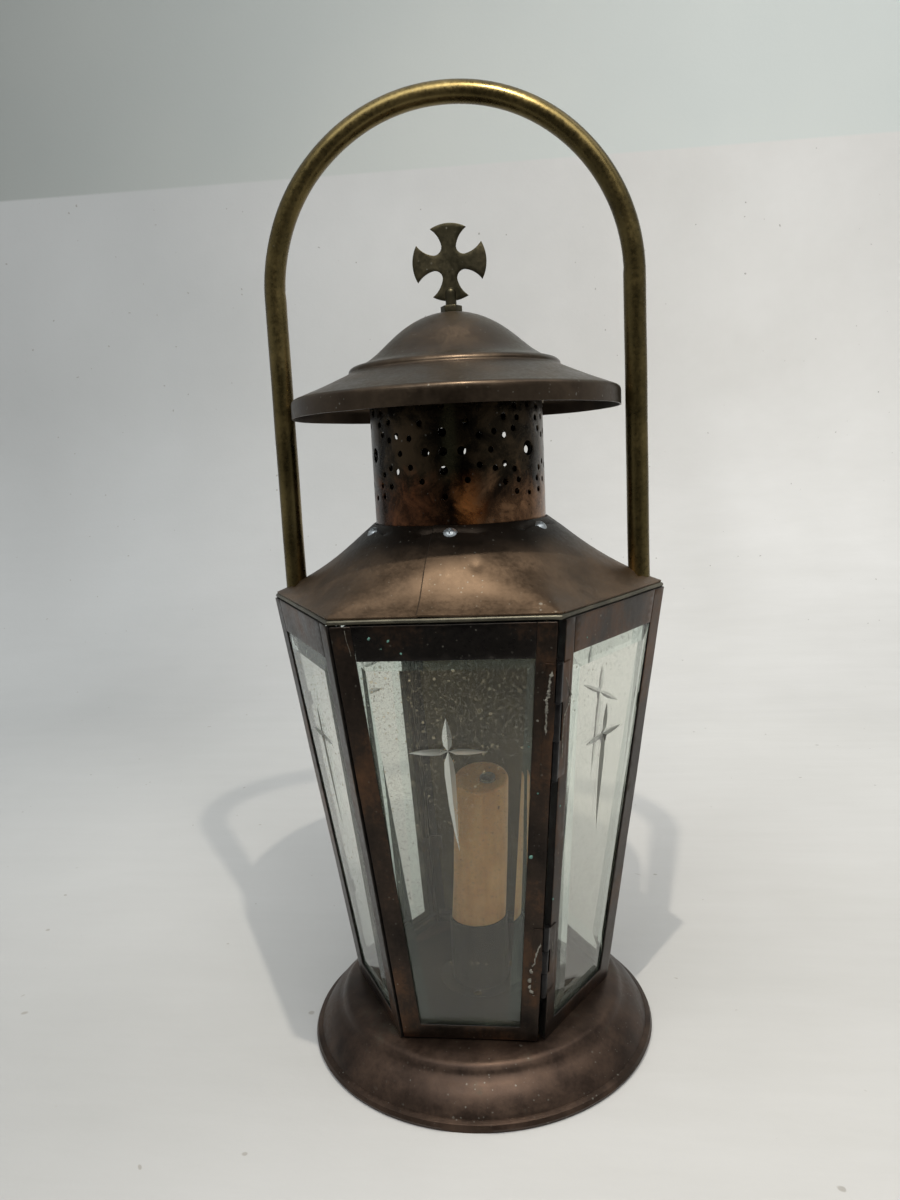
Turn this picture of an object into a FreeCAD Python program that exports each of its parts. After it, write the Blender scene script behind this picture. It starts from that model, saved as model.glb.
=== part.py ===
import FreeCAD, Part
import math
import os
from FreeCAD import Matrix, Vector

# Processional lantern: six leaning panels on a round foot, the front one a glazed door,
# under a roof that turns from a hexagon into a circle, with a pierced chimney, a smoke cap,
# a cross finial and a tube handle. Millimetres, +Z up, origin under the middle of the foot.
# The door faces -Y and the legs of the handle stand at +X and -X.
# An angle round the lantern is counted from -Y towards +X.

# Body
sides = 6
sheet = 1.0
body_height = 237.0
corner_radius_bottom = 76.6
corner_radius_top = 112.8
frame_depth = 6.0
stile_width = 12.0
sill_height = 10.0
band_height = 18.3
seam_gap = 0.15
panel_gap = 0.1
band_backing = 0.8
band_lap = 3.9
band_lift = 1.2

# Door
door_bottom_gap = 1.4
door_top_gap = 0.6
door_free_gap = 1.3
door_hinge_gap = 1.9
hinge_side_panel_gap = 2.8

# Glass, its cut cross, the plain back sheet and the clips behind them
glass_thickness = 4.0
glass_face_depth = 0.05
glass_cover = 3.5
glass_seat_gap = 0.2
bevel_width = 12.0
bevel_depth = 1.4
back_sheet = 1.0
cut_cross_height = 73.5
cut_cross_above = 18.0
cut_cross_span = 40.0
cut_cross_half_width = 3.0
cut_cross_depth = 1.0
cut_cross_rise = 171.3
side_cross_drop = 5.3
clip_width = 8.0
clip_thickness = 0.8
clip_reach = 2.5
clip_gap = 0.1
clip_inset = 40.0

# Hinges: spans along the hinge line, from the level of the foot's flat top
pin_radius = 0.9
pin_clearance = 0.05
barrel_radius = 1.7
barrel_inset = 1.0
leaf_width = 5.0
leaf_thickness = 0.5
knuckle_gap = 0.3
knuckle_count = 3
pin_head_radius = 1.5
pin_head_height = 1.2
lower_hinge_start = 31.3
lower_hinge_length = 41.0
upper_hinge_start = 158.4
upper_hinge_length = 60.0

# Catch, a bowed spring strip in the gap at the free edge of the door
catch_length = 30.0
catch_width = 3.5
catch_strip = 0.4
catch_gap = 0.2
catch_rise = 120.0
catch_setback = 1.8

# Foot
foot_radius = 101.4
foot_wall = 1.2
foot_height = 27.0
foot_flat_radius = 67.5
shoulder_fall = 1.9
ridge_radius = 81.9
ridge_fall = 4.2
ridge_half_width = 3.5
ridge_round = 0.7
ridge_fall_off = 1.6
cove_fall = 5.4
cove_reach = 3.2
cove_hollow_out = 0.8
cove_hollow_down = 0.5
skirt_bulge_out = 1.9
skirt_bulge_up = 2.2
bead_height = 4.6
bead_width = 3.6
bead_step = 0.8

# Candle and its cup
candle_radius = 16.15
candle_length = 123.5
candle_edge = 4.5
candle_lower_edge = 0.6
cup_clearance = 0.35
cup_wall = 1.0
cup_height = 40.4
cup_base_radius = 25.0
cup_base_thickness = 1.0
cup_rivet_circle = 21.2
cup_rivet_radius = 1.5
cup_rivet_count = 3
rivet_head_radius = 2.7
rivet_head_height = 0.8
rivet_fit = 0.03
wick_hole_offset = 4.0
wick_tube_radius = 4.6
wick_tube_wall = 0.8
wick_tube_length = 14.0
wick_tube_proud = 0.4
wick_tube_fit = 0.03
wick_radius = 2.2
wick_below_top = 1.5

# Roof: sections by height above the eave, apothem and rounding of the corners
eave_height = 2.5
eave_overhang = 0.55
eave_seat = 5.15
eave_setback = 1.5
eave_rounding = 2.0
roof_rise = 38.9
roof_thickness = 1.2
lower_section_height = 3.6
lower_section_setback = 8.1
lower_section_rounding = 9.0
middle_section_height = 13.5
middle_section_reach = 29.1
middle_section_rounding = 47.0
collar_land = 0.2
collar_width = 9.6
collar_slope = 0.805
collar_facet = 6.0

# Chimney
chimney_radius = 48.0
chimney_wall = 0.8
chimney_clearance = 0.3
chimney_height = 68.0
flange_width = 9.5
flange_gap = 0.3
screw_reach = 4.5
screw_radius = 2.0
screw_hole_clearance = 0.15
screw_head_radius = 4.0
screw_head_height = 2.4
screw_head_gap = 0.1
screw_length = 7.0
screw_nut_width = 7.0
screw_nut_height = 2.4
screw_nut_gap = 0.3
screw_recess_width = 0.9
screw_recess_depth = 1.1
screw_recess_span = 4.2
drill_length = 16.0

# Holes of the chimney in equal groups, each a cross and a star half a group apart.
# The small holes are given by their angle from the middle of the cross or star, and their rise.
hole_groups = 3
pattern_turn = -2.7
pattern_rise = 38.4
small_hole = 1.65
cross_hole = 2.25
star_hole = 4.0
cross_pitch = 9.6
end_hole_rise = 23.0
beside_cross = ((14.5, 14.8), (14.5, -14.8), (22.3, 7.4), (22.3, -7.4), (30.0, 0), (32.5, 9.2), (32.5, -9.4))
beside_star = ((10.0, 16.0), (13.3, 10.4), (11.8, 22.0), (20.6, 16.8), (20.7, 7.2))

# Smoke cap, measured from the lower edge of its lip
cap_radius = 89.8
cap_wall = 0.9
cap_overlap = 8.4
cap_height = 53.4
lip_height = 5.6
brim_edge = 1.6
brim_edge_rise = 2.1
lip_round_rise = 1.0
lip_round_drop = 0.9
brim_rise = 9.6
brim_width = 6.6
step_radius = 57.6
step_foot = 22.4
step_top = 25.8
step_corner = 2.6
dome_radius = 42.2
dome_foot = 32.0

# Bridge across the chimney, and the finial
bridge_width = 14.0
bridge_thickness = 1.6
bridge_drop = 8.0
bridge_end_drop = 0.5
bridge_fit = 0.05
bridge_rivet_radius = 1.3
bridge_rivet_drop = 3.2
bridge_rivet_head = 2.2
post_radius = 3.0
post_rise = 14.3
post_fit = 0.05
post_end = 1.2
finial_nut_width = 10.4
finial_nut_height = 4.3
lock_nut_width = 10.0
lock_nut_height = 4.0
lock_nut_seat = 0.35
cross_thickness = 1.6
cross_fit = 0.05
cross_radius = 20.3
cross_rise = 27.3
cross_tip_angle = 29.0
cross_neck = 3.95
cross_notch = 8.4
cross_flare_out = 13.3
cross_flare_half = 5.7

# Handle
handle_setback = 13.9
tube_radius = 6.0
tube_wall = 1.0
leg_height = 169.0
leg_start = 0.5
handle_fit = 0.1
plug_length = 16.0
plug_fit = 0.05
stud_radius = 2.5
stud_hole_clearance = 0.2
stud_fit = 0.05
stud_end = 1.0
spacer_radius = 4.6
spacer_seat = 3.5
spacer_fit = 0.05
spacer_reach = 12.0
stud_nut_width = 8.0
stud_nut_height = 3.0

# Sizes that follow from those above
half_turn = 180.0 / sides
full_turn = 360.0 / sides
half_angle = math.radians(half_turn)
apothem_bottom = corner_radius_bottom * math.cos(half_angle)
apothem_top = corner_radius_top * math.cos(half_angle)
face_slope = (apothem_top - apothem_bottom) / body_height
tilt = math.atan(face_slope)
body_top = foot_height + body_height
sill_top = foot_height + sill_height
band_bottom = body_top - band_height
door_bottom = foot_height + door_bottom_gap
door_top = body_top - door_top_gap
ledge_top = sill_top - glass_cover - glass_seat_gap
eave_top = body_top + eave_height
roof_top = eave_top + roof_rise
collar_radius = chimney_radius + chimney_clearance + collar_land
collar_foot_radius = collar_radius + collar_width
collar_foot = roof_top - collar_width * collar_slope
screw_circle = chimney_radius + screw_reach
chimney_top = roof_top + chimney_height
lip_bottom = chimney_top - cap_overlap
cap_top = lip_bottom + cap_height
cross_centre = cap_top + cross_rise
handle_radius = corner_radius_top - handle_setback
leg_top = body_top + leg_height
cup_radius = candle_radius + cup_clearance
cup_floor = foot_height + cup_base_thickness
candle_top = cup_floor + candle_length
FAR = 800.0

os.makedirs("parts", exist_ok=True)


def around(angle, radius=1.0, height=0.0):
    """The point at an angle round the lantern, counted from -Y towards +X."""
    turn = math.radians(angle)
    return Vector(radius * math.sin(turn), -radius * math.cos(turn), height)


def tangent(angle):
    """The level direction in which the angle grows."""
    turn = math.radians(angle)
    return Vector(math.cos(turn), math.sin(turn), 0)


def turned(shape, angle):
    """A copy turned round the lantern's axis."""
    result = shape.copy()
    result.rotate(Vector(0, 0, 0), Vector(0, 0, 1), angle)
    return result


def placed(shape, origin, x_way, y_way, z_way):
    """A copy moved from the world's axes to an origin with three directions."""
    frame = Matrix(x_way.x, y_way.x, z_way.x, origin.x,
                   x_way.y, y_way.y, z_way.y, origin.y,
                   x_way.z, y_way.z, z_way.z, origin.z,
                   0, 0, 0, 1)
    result = shape.copy()
    result.transformShape(frame)
    return result


def prism(points, way):
    """A closed polygon pushed along a direction."""
    return Part.Face(Part.makePolygon(points + points[:1])).extrude(way)


def polyhedron(faces):
    """A solid from flat faces given as lists of points."""
    shell = Part.makeShell([Part.Face(Part.makePolygon(face + face[:1])) for face in faces])
    solid = Part.makeSolid(shell)
    if solid.Volume < 0:
        solid.reverse()
    return solid


def joined(shapes):
    """One solid from pieces that touch."""
    return shapes[0].multiFuse(shapes[1:]).removeSplitter()


def group(shapes):
    """Separate solids kept together as one piece group."""
    return Part.makeCompound([solid for shape in shapes for solid in shape.Solids])


def outline(start, steps):
    """A line of straight runs and arcs in the plane of radius and height.

    A step of one point is a straight run, and a step of two points is an arc
    through the first to the second.
    """
    edges = []
    last = Vector(start[0], 0, start[1])
    for step in steps:
        end = Vector(step[-1][0], 0, step[-1][1])
        if len(step) == 1:
            edges.append(Part.makeLine(last, end))
        else:
            middle = Vector(step[0][0], 0, step[0][1])
            edges.append(Part.Arc(last, middle, end).toShape())
        last = end
    return Part.Wire(edges)


def spun(wire_or_face):
    """A solid of revolution about the lantern's axis."""
    face = wire_or_face
    if face.ShapeType == "Wire":
        face = Part.Face(face)
    return face.revolve(Vector(0, 0, 0), Vector(0, 0, 1), 360)


def rod(radius, low, high, x=0.0, y=0.0):
    """An upright cylinder between two heights."""
    return Part.makeCylinder(radius, high - low, Vector(x, y, low))


def hexagon_nut(width, height, bore):
    """A nut standing on the origin with its bore upright."""
    corner = width / 2 / math.cos(math.pi / 6)
    points = [Vector(corner * math.cos(math.pi * i / 3), corner * math.sin(math.pi * i / 3), 0)
              for i in range(6)]
    return prism(points, Vector(0, 0, height)).cut(rod(bore, -1, height + 1))


def dome_head(radius, height):
    """A low round head standing on the origin."""
    ball = (radius ** 2 + height ** 2) / (2 * height)
    half_way = math.asin(radius / ball) / 2
    middle = (ball * math.sin(half_way), height - ball * (1 - math.cos(half_way)))
    return spun(outline((0, 0), [[(radius, 0)], [middle, (0, height)], [(0, 0)]]))


def upside_down(shape):
    """A copy turned over on the origin."""
    result = shape.copy()
    result.rotate(Vector(0, 0, 0), Vector(1, 0, 0), 180)
    return result


# The leaning panels

def apothem_at(height):
    return apothem_bottom + (height - foot_height) * face_slope


def half_width_at(height):
    return apothem_at(height) * math.tan(half_angle)


def sector(left_gap, right_gap):
    """The wedge of space behind the front face, drawn in from its two corner planes."""
    apex = Vector((left_gap - right_gap) / (2 * math.cos(half_angle)),
                  -(left_gap + right_gap) / (2 * math.sin(half_angle)), 0)
    left = apex + around(-half_turn, FAR)
    right = apex + around(half_turn, FAR)
    return prism([apex, left, right], Vector(0, 0, FAR))


def slab(outer, inner, low, high):
    """The leaning layer between two depths behind the front face."""
    def corner(depth, height):
        return Vector(-FAR / 2, depth / math.cos(tilt) - apothem_at(height), height)
    points = [corner(outer, low), corner(outer, high), corner(inner, high), corner(inner, low)]
    return prism(points, Vector(FAR, 0, 0))


def front_view(margin, low, high):
    """A cutter with the panel's front outline, drawn in from its corner lines."""
    lower = half_width_at(low) - margin
    upper = half_width_at(high) - margin
    points = [Vector(-lower, 0, low), Vector(lower, 0, low),
              Vector(upper, 0, high), Vector(-upper, 0, high)]
    return prism(points, Vector(0, -FAR, 0))


def panel_frame(low, high, left_gap, right_gap):
    """Two stiles and a bottom rail folded from one strip, with a ledge for the glass."""
    block = slab(0, frame_depth, low, high).common(sector(left_gap, right_gap))
    inside = sector(left_gap + sheet, right_gap + sheet)
    pocket = slab(sheet, frame_depth + 1, ledge_top, high + 1).common(inside)
    rail_pocket = slab(sheet, frame_depth + 1, low + sheet, ledge_top - sheet).common(inside)
    window = front_view(stile_width, sill_top, high + 1)
    return block.cut([pocket, rail_pocket, window])


def top_band(high):
    """The wide strip between the stiles, lapped behind them, with a level return."""
    front = slab(0, sheet, band_bottom, high)
    front = front.common(front_view(stile_width + seam_gap, band_bottom, high))
    back_low = band_bottom + glass_cover + band_lift
    behind = front_view(stile_width - band_lap, back_low, high)
    backing = slab(sheet, sheet + band_backing, back_low, high).common(behind)
    level = slab(sheet, frame_depth, high - sheet, high).common(behind)
    return joined([front, backing, level])


def face_point(across, along, depth):
    """A point of the front panel from its own measures: across, up the slope, and inwards."""
    y = -apothem_bottom - along * math.sin(tilt) + depth * math.cos(tilt)
    return Vector(across, y, foot_height + along * math.cos(tilt) + depth * math.sin(tilt))


def glass_outline(inset):
    """The four corners of the glass, drawn in evenly, as across and along pairs."""
    low = (sill_top - glass_cover - foot_height) / math.cos(tilt) + inset
    high = (band_bottom + glass_cover - foot_height) / math.cos(tilt) - inset
    spread = face_slope * math.tan(half_angle) * math.cos(tilt)
    side_inset = inset / math.cos(math.atan(spread))

    def half(along):
        base = apothem_bottom * math.tan(half_angle)
        return base + along * spread - stile_width + glass_cover - side_inset
    return [(-half(low), low), (half(low), low), (half(high), high), (-half(high), high)]


def ring_faces(first, second):
    """The side faces between two outlines with as many corners."""
    count = len(first)
    return [[first[i], first[(i + 1) % count], second[(i + 1) % count], second[i]]
            for i in range(count)]


def kite_cut(across, above, below, centre):
    """A four sided cut that runs out to points, deepest in its middle."""
    over = 0.5
    grow = (cut_cross_depth + over) / cut_cross_depth
    surface = glass_face_depth - over
    tips = [(-across * grow, 0), (0, -below * grow), (across * grow, 0), (0, above * grow)]
    rim = [face_point(u, centre + v, surface) for u, v in tips]
    deep = face_point(0, centre, glass_face_depth + cut_cross_depth)
    faces = [rim] + [[rim[i], rim[(i + 1) % 4], deep] for i in range(4)]
    return polyhedron(faces)


def glass(drop):
    """A bevelled pane with a cross cut into its outer face."""
    wide = glass_outline(0)
    narrow = glass_outline(bevel_width)
    back = [face_point(u, v, glass_face_depth + glass_thickness) for u, v in wide]
    edge = [face_point(u, v, glass_face_depth + bevel_depth) for u, v in wide]
    face = [face_point(u, v, glass_face_depth) for u, v in narrow]
    pane = polyhedron([back, face] + ring_faces(back, edge) + ring_faces(edge, face))
    centre = (cut_cross_rise - drop) / math.cos(tilt)
    upright = kite_cut(cut_cross_half_width, cut_cross_above, cut_cross_height - cut_cross_above, centre)
    arms = kite_cut(cut_cross_span / 2, cut_cross_half_width, cut_cross_half_width, centre)
    return pane.cut([upright, arms])


def plain_sheet():
    """The opaque sheet that closes the back panel instead of glass."""
    outer = [face_point(u, v, sheet) for u, v in glass_outline(0)]
    inner = [face_point(u, v, sheet + back_sheet) for u, v in glass_outline(0)]
    return polyhedron([outer, inner] + ring_faces(outer, inner))


def clips(depth, left_gap, right_gap):
    """Four tabs soldered inside the stiles that hold the pane from behind."""
    inside = sector(left_gap + sheet, right_gap + sheet)
    result = []
    for low in (sill_top + clip_inset, band_bottom - clip_inset - clip_width):
        layer = slab(depth, depth + clip_thickness, low, low + clip_width).common(inside)
        middle = front_view(stile_width - glass_cover + clip_reach, low - 1, low + clip_width + 1)
        result += layer.cut(middle).Solids
    return result


# The hinges

hinge_foot = around(half_turn, corner_radius_bottom - barrel_inset, foot_height)
hinge_head = around(half_turn, corner_radius_top - barrel_inset, body_top)
hinge_way = (hinge_head - hinge_foot).normalize()
hinge_spans = ((lower_hinge_start, lower_hinge_length), (upper_hinge_start, upper_hinge_length))


def hinge_leaves(panel_angle, gap, own_knuckles):
    """Leaves on one panel's stile, each with its share of the knuckles."""
    outward = around(panel_angle, math.cos(tilt), -math.sin(tilt))
    inward_side = outward.cross(hinge_way)
    side = 1.0 if panel_angle < half_turn else -1.0
    corner = around(half_turn, barrel_inset)
    face = corner.dot(outward)
    corner_reach = corner.dot(inward_side) * side
    lean = math.asin(math.sqrt(1 - around(half_turn).cross(Vector(0, 0, 1)).dot(outward) ** 2))
    edge = corner_reach + gap / math.sin(lean)
    leaves = []
    for start, length in hinge_spans:
        pitch = length / knuckle_count

        def strip(near, far, low, high):
            box = Part.makeBox(far - near, leaf_thickness, high - low)
            box.translate(Vector(near if side > 0 else -far, face, low))
            return box
        pieces = [strip(edge, edge + leaf_width, start, start + length)]
        bore = []
        for index in own_knuckles:
            low = start + index * pitch + (knuckle_gap / 2 if index > 0 else 0)
            high = start + (index + 1) * pitch - (knuckle_gap / 2 if index < knuckle_count - 1 else 0)
            pieces.append(rod(barrel_radius, low, high))
            pieces.append(strip(0, edge, low, high))
            bore.append(rod(pin_radius + pin_clearance, low - 1, high + 1))
        leaf = joined(pieces).cut(bore)
        leaves.append(placed(leaf, hinge_foot, inward_side, outward, hinge_way))
    return group(leaves)


def hinge_pins():
    """One headed pin through each hinge."""
    pins = []
    for start, length in hinge_spans:
        end = start + length
        pin = joined([rod(pin_radius, start, end),
                      rod(pin_head_radius, end, end + pin_head_height),
                      rod(pin_head_radius, start - pin_head_height, start)])
        pins.append(placed(pin, hinge_foot, hinge_way.cross(around(half_turn)).normalize().cross(hinge_way),
                           hinge_way.cross(around(half_turn)).normalize(), hinge_way))
    return group(pins)


def catch_spring():
    """A bowed strip on the left panel's edge that bears on the door's edge."""
    foot = around(-half_turn, corner_radius_bottom, foot_height)
    head = around(-half_turn, corner_radius_top, body_top)
    up = (head - foot).normalize()
    across = tangent(-half_turn)
    inward = across.cross(up)
    if inward.dot(around(-half_turn)) > 0:
        inward = inward * -1
    crest = door_free_gap - catch_gap
    half = catch_length / 2
    base = -panel_gap

    def arc(offset):
        return Part.Arc(Vector(0, base + offset, -half), Vector(0, crest - catch_strip + offset, 0),
                        Vector(0, base + offset, half)).toShape()
    near = arc(0)
    far = arc(catch_strip)
    ends = [Part.makeLine(Vector(0, base, z), Vector(0, base + catch_strip, z)) for z in (-half, half)]
    face = Part.Face(Part.Wire(Part.__sortEdges__([near, ends[0], far, ends[1]])))
    strip = face.extrude(Vector(catch_width, 0, 0))
    strip.translate(Vector(catch_setback, 0, 0))
    return placed(strip, foot + up * catch_rise, inward, across, up)


# The foot, the candle and its cup

def rivet_places():
    """The rivets stand on a circle round the candle cup."""
    return [around(360.0 * i / cup_rivet_count, cup_rivet_circle) for i in range(cup_rivet_count)]


def foot():
    """A spun dish: flat top, soft ridge, cove, swelling skirt and a bead at the rim."""
    ridge_start = ridge_radius - ridge_half_width
    cove_start = (ridge_radius + ridge_fall_off, foot_height - ridge_fall)
    cove_end = (cove_start[0] + cove_reach, cove_start[1] - cove_fall)
    skirt_end = (foot_radius - bead_width, bead_height + bead_step)
    cove_mid = (cove_start[0] + cove_hollow_out, (cove_start[1] + cove_end[1]) / 2 - cove_hollow_down)
    skirt_mid = ((cove_end[0] + skirt_end[0]) / 2 + skirt_bulge_out,
                 (cove_end[1] + skirt_end[1]) / 2 + skirt_bulge_up)
    shoulder = foot_height - shoulder_fall
    ridge_mid = (ridge_radius, shoulder - ridge_round)
    top = outline((0, foot_height), [
        [(foot_flat_radius, foot_height)],
        [(ridge_start, shoulder)],
        [ridge_mid, cove_start],
        [cove_mid, cove_end],
        [skirt_mid, skirt_end],
        [(skirt_end[0], bead_height / 2)]])
    skin = spun(top.makeOffset2D(-foot_wall, 0, True, True))
    inner = foot_radius - bead_width - foot_wall
    outer = foot_radius - bead_height / 2
    bead = spun(outline((inner, 0), [[(outer, 0)], [(foot_radius, bead_height / 2), (outer, bead_height)],
                                     [(inner, bead_height)], [(inner, 0)]]))
    holes = [rod(cup_rivet_radius + rivet_fit, 0, foot_height + 1, p.x, p.y) for p in rivet_places()]
    return joined([skin, bead]).cut(holes)


def candle_cup():
    """A turned cup on a thin base."""
    rim = foot_height + cup_height
    cup = spun(outline((0, foot_height), [
        [(cup_base_radius, foot_height)], [(cup_base_radius, cup_floor)],
        [(cup_radius + cup_wall, cup_floor)], [(cup_radius + cup_wall, rim)],
        [(cup_radius, rim)], [(cup_radius, cup_floor)], [(0, cup_floor)], [(0, foot_height)]]))
    holes = [rod(cup_rivet_radius + rivet_fit, foot_height - 1, cup_floor + 1, p.x, p.y)
             for p in rivet_places()]
    return cup.cut(holes)


def cup_rivets():
    """Rivets through the cup's base and the top of the foot."""
    low = foot_height - foot_wall
    head = dome_head(rivet_head_radius, rivet_head_height)
    tail = upside_down(head)
    result = []
    for place in rivet_places():
        upper = head.translated(Vector(place.x, place.y, cup_floor))
        lower = tail.translated(Vector(place.x, place.y, low))
        result.append(joined([rod(cup_rivet_radius, low, cup_floor, place.x, place.y), upper, lower]))
    return group(result)


def candle():
    """A round candle with a softened top edge and a lined hole beside its middle."""
    edge = candle_edge * (1 - math.sqrt(0.5))
    wax = spun(outline((0, cup_floor), [
        [(candle_radius - candle_lower_edge, cup_floor)], [(candle_radius, cup_floor + candle_lower_edge)],
        [(candle_radius, candle_top - candle_edge)],
        [(candle_radius - edge, candle_top - edge), (candle_radius - candle_edge, candle_top)],
        [(0, candle_top)], [(0, cup_floor)]]))
    hole = rod(wick_tube_radius + wick_tube_fit, candle_top - wick_tube_length, candle_top + 1,
               wick_hole_offset)
    return wax.cut(hole)


def wick_tube():
    low = candle_top - wick_tube_length
    high = candle_top + wick_tube_proud
    outer = rod(wick_tube_radius, low, high, wick_hole_offset)
    return outer.cut(rod(wick_tube_radius - wick_tube_wall, low - 1, high + 1, wick_hole_offset))


def wick():
    return rod(wick_radius, candle_top - wick_tube_length, candle_top - wick_below_top, wick_hole_offset)


# The roof

def rounded_section(apothem, rounding, height):
    """A hexagon with round corners, as twelve edges that start at a face."""
    starts = []
    edges = []
    for index in range(sides):
        corner_angle = half_turn + index * full_turn
        centre = around(corner_angle, (apothem - rounding) / math.cos(half_angle), height)
        arc_start = centre + around(corner_angle - half_turn, rounding)
        arc_middle = centre + around(corner_angle, rounding)
        arc_end = centre + around(corner_angle + half_turn, rounding)
        starts.append((arc_start, arc_middle, arc_end))
    for index in range(sides):
        edges.append(Part.makeLine(starts[index - 1][2], starts[index][0]))
        edges.append(Part.Arc(*starts[index]).toShape())
    return Part.Wire(edges)


def round_section(radius, height):
    """A circle as twelve arcs that match the faces and corners of the hexagon."""
    edges = []
    for index in range(sides):
        angle = index * full_turn
        cuts = [angle - collar_facet, angle, angle + collar_facet, angle + half_turn,
                angle + full_turn - collar_facet]
        points = [around(cut, radius, height) for cut in cuts]
        edges.append(Part.Arc(points[0], points[1], points[2]).toShape())
        edges.append(Part.Arc(points[2], points[3], points[4]).toShape())
    return Part.Wire(edges)


def roof_mass():
    """The roof as a full body: a hexagon at the eave that turns into a cone at the collar."""
    sections = [
        rounded_section(apothem_top - eave_setback, eave_rounding, eave_top),
        rounded_section(apothem_top - lower_section_setback, lower_section_rounding,
                        eave_top + lower_section_height),
        rounded_section(collar_radius + middle_section_reach, middle_section_rounding,
                        eave_top + middle_section_height),
        round_section(collar_foot_radius, collar_foot)]
    collar = Part.makeCone(collar_foot_radius, collar_radius, roof_top - collar_foot,
                           Vector(0, 0, collar_foot))
    return Part.makeLoft(sections, True, False).fuse(collar)


def slope_height(radius):
    """The height of the roof's outer face near the collar."""
    return roof_top - collar_slope * (radius - collar_radius)


def screw_frames():
    """A place and three directions for each chimney screw, square to the roof."""
    frames = []
    size = math.hypot(1, collar_slope)
    for index in range(sides):
        angle = index * full_turn
        normal = around(angle, collar_slope / size, 1 / size)
        side = tangent(angle)
        frames.append((around(angle, screw_circle, slope_height(screw_circle)),
                       side.cross(normal), side * -1, normal))
    return frames


def on_screws(shape):
    """A copy of a shape at each chimney screw."""
    return [placed(shape, origin, x_way, y_way, z_way)
            for origin, x_way, y_way, z_way in screw_frames()]


def eave_moulding():
    """A half round bead on a flat strip, mitred round the eave."""
    inner = apothem_top - eave_overhang - eave_seat
    outer = apothem_top - eave_overhang
    shoulder = outer - eave_height / 2

    def at(apothem, height):
        return Vector(-FAR / 2, -apothem, body_top + height)
    edges = [Part.makeLine(at(inner, 0), at(shoulder, 0)),
             Part.Arc(at(shoulder, 0), at(outer, eave_height / 2), at(shoulder, eave_height)).toShape(),
             Part.makeLine(at(shoulder, eave_height), at(inner, eave_height)),
             Part.makeLine(at(inner, eave_height), at(inner, 0))]
    length = Part.Face(Part.Wire(edges)).extrude(Vector(FAR, 0, 0)).common(sector(0, 0))
    return joined([turned(length, index * full_turn) for index in range(sides)])


# The chimney

def pattern_holes():
    """Hole places in the chimney: angle, rise and radius."""
    cross_angle = math.degrees(cross_pitch / chimney_radius)
    holes = []
    for index in range(hole_groups):
        middle = index * 360.0 / hole_groups
        star = middle + 180.0 / hole_groups
        holes += [(middle, rise, cross_hole) for rise in (-cross_pitch, 0, cross_pitch)]
        holes.append((star, 0, star_hole))
        for sign in (-1, 1):
            holes.append((middle + sign * cross_angle, 0, cross_hole))
            holes.append((middle, sign * end_hole_rise, small_hole))
            holes.append((star, sign * end_hole_rise, small_hole))
            holes += [(middle + sign * angle, rise, small_hole) for angle, rise in beside_cross]
            for angle, rise in beside_star:
                holes.append((star + sign * angle, rise, small_hole))
                holes.append((star + sign * angle, -rise, small_hole))
    return holes


def drill(radius, angle, height):
    """A level cutter through the chimney's wall."""
    place = around(angle, chimney_radius - drill_length / 2, height)
    return Part.makeCylinder(radius, drill_length, place, around(angle))


def chimney(mass):
    """A pierced tube whose foot flares out under the roof, parallel to it."""
    inner = chimney_radius - chimney_wall
    foot_edge = chimney_radius + flange_width
    under = -roof_thickness - flange_gap
    thick = chimney_wall * math.hypot(1, collar_slope)
    flange = rod(foot_edge, roof_top - FAR / 4, roof_top).common(mass.translated(Vector(0, 0, under)))
    flange = flange.cut(mass.translated(Vector(0, 0, under - thick)))
    wall = rod(chimney_radius, roof_top + under - thick, chimney_top)
    tube = joined([flange, wall]).cut(rod(inner, body_top, chimney_top + 1))
    cutters = [drill(radius, angle + pattern_turn, roof_top + pattern_rise + rise)
               for angle, rise, radius in pattern_holes()]
    cutters += on_screws(screw_hole()) + bridge_rivet_holes()
    return tube.cut(cutters)


def bridge_rivet_holes():
    return [drill(bridge_rivet_radius + rivet_fit, angle, chimney_top - bridge_rivet_drop)
            for angle in (90, -90)]


def flange_depth():
    """How far below the roof's face the underside of the chimney's flange lies."""
    return (roof_thickness + flange_gap) / math.hypot(1, collar_slope) + chimney_wall + screw_nut_gap


def screw_hole():
    """A cutter for a chimney screw, standing on the origin and reaching past its tip."""
    return rod(screw_radius + screw_hole_clearance, -2 * screw_length, screw_length)


def chimney_screw():
    """A pan head screw with a cross recess, its head seated on the origin."""
    head = dome_head(screw_head_radius, screw_head_height).translated(Vector(0, 0, screw_head_gap))
    low = screw_head_gap + screw_head_height - screw_recess_depth
    screw = joined([head, rod(screw_radius, screw_head_gap - screw_length, low)])
    long = screw_recess_span
    wide = screw_recess_width
    slots = [Part.makeBox(long, wide, screw_head_height, Vector(-long / 2, -wide / 2, low)),
             Part.makeBox(wide, long, screw_head_height, Vector(-wide / 2, -long / 2, low))]
    return screw.cut(slots)


# The smoke cap, the bridge and the finial

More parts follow.
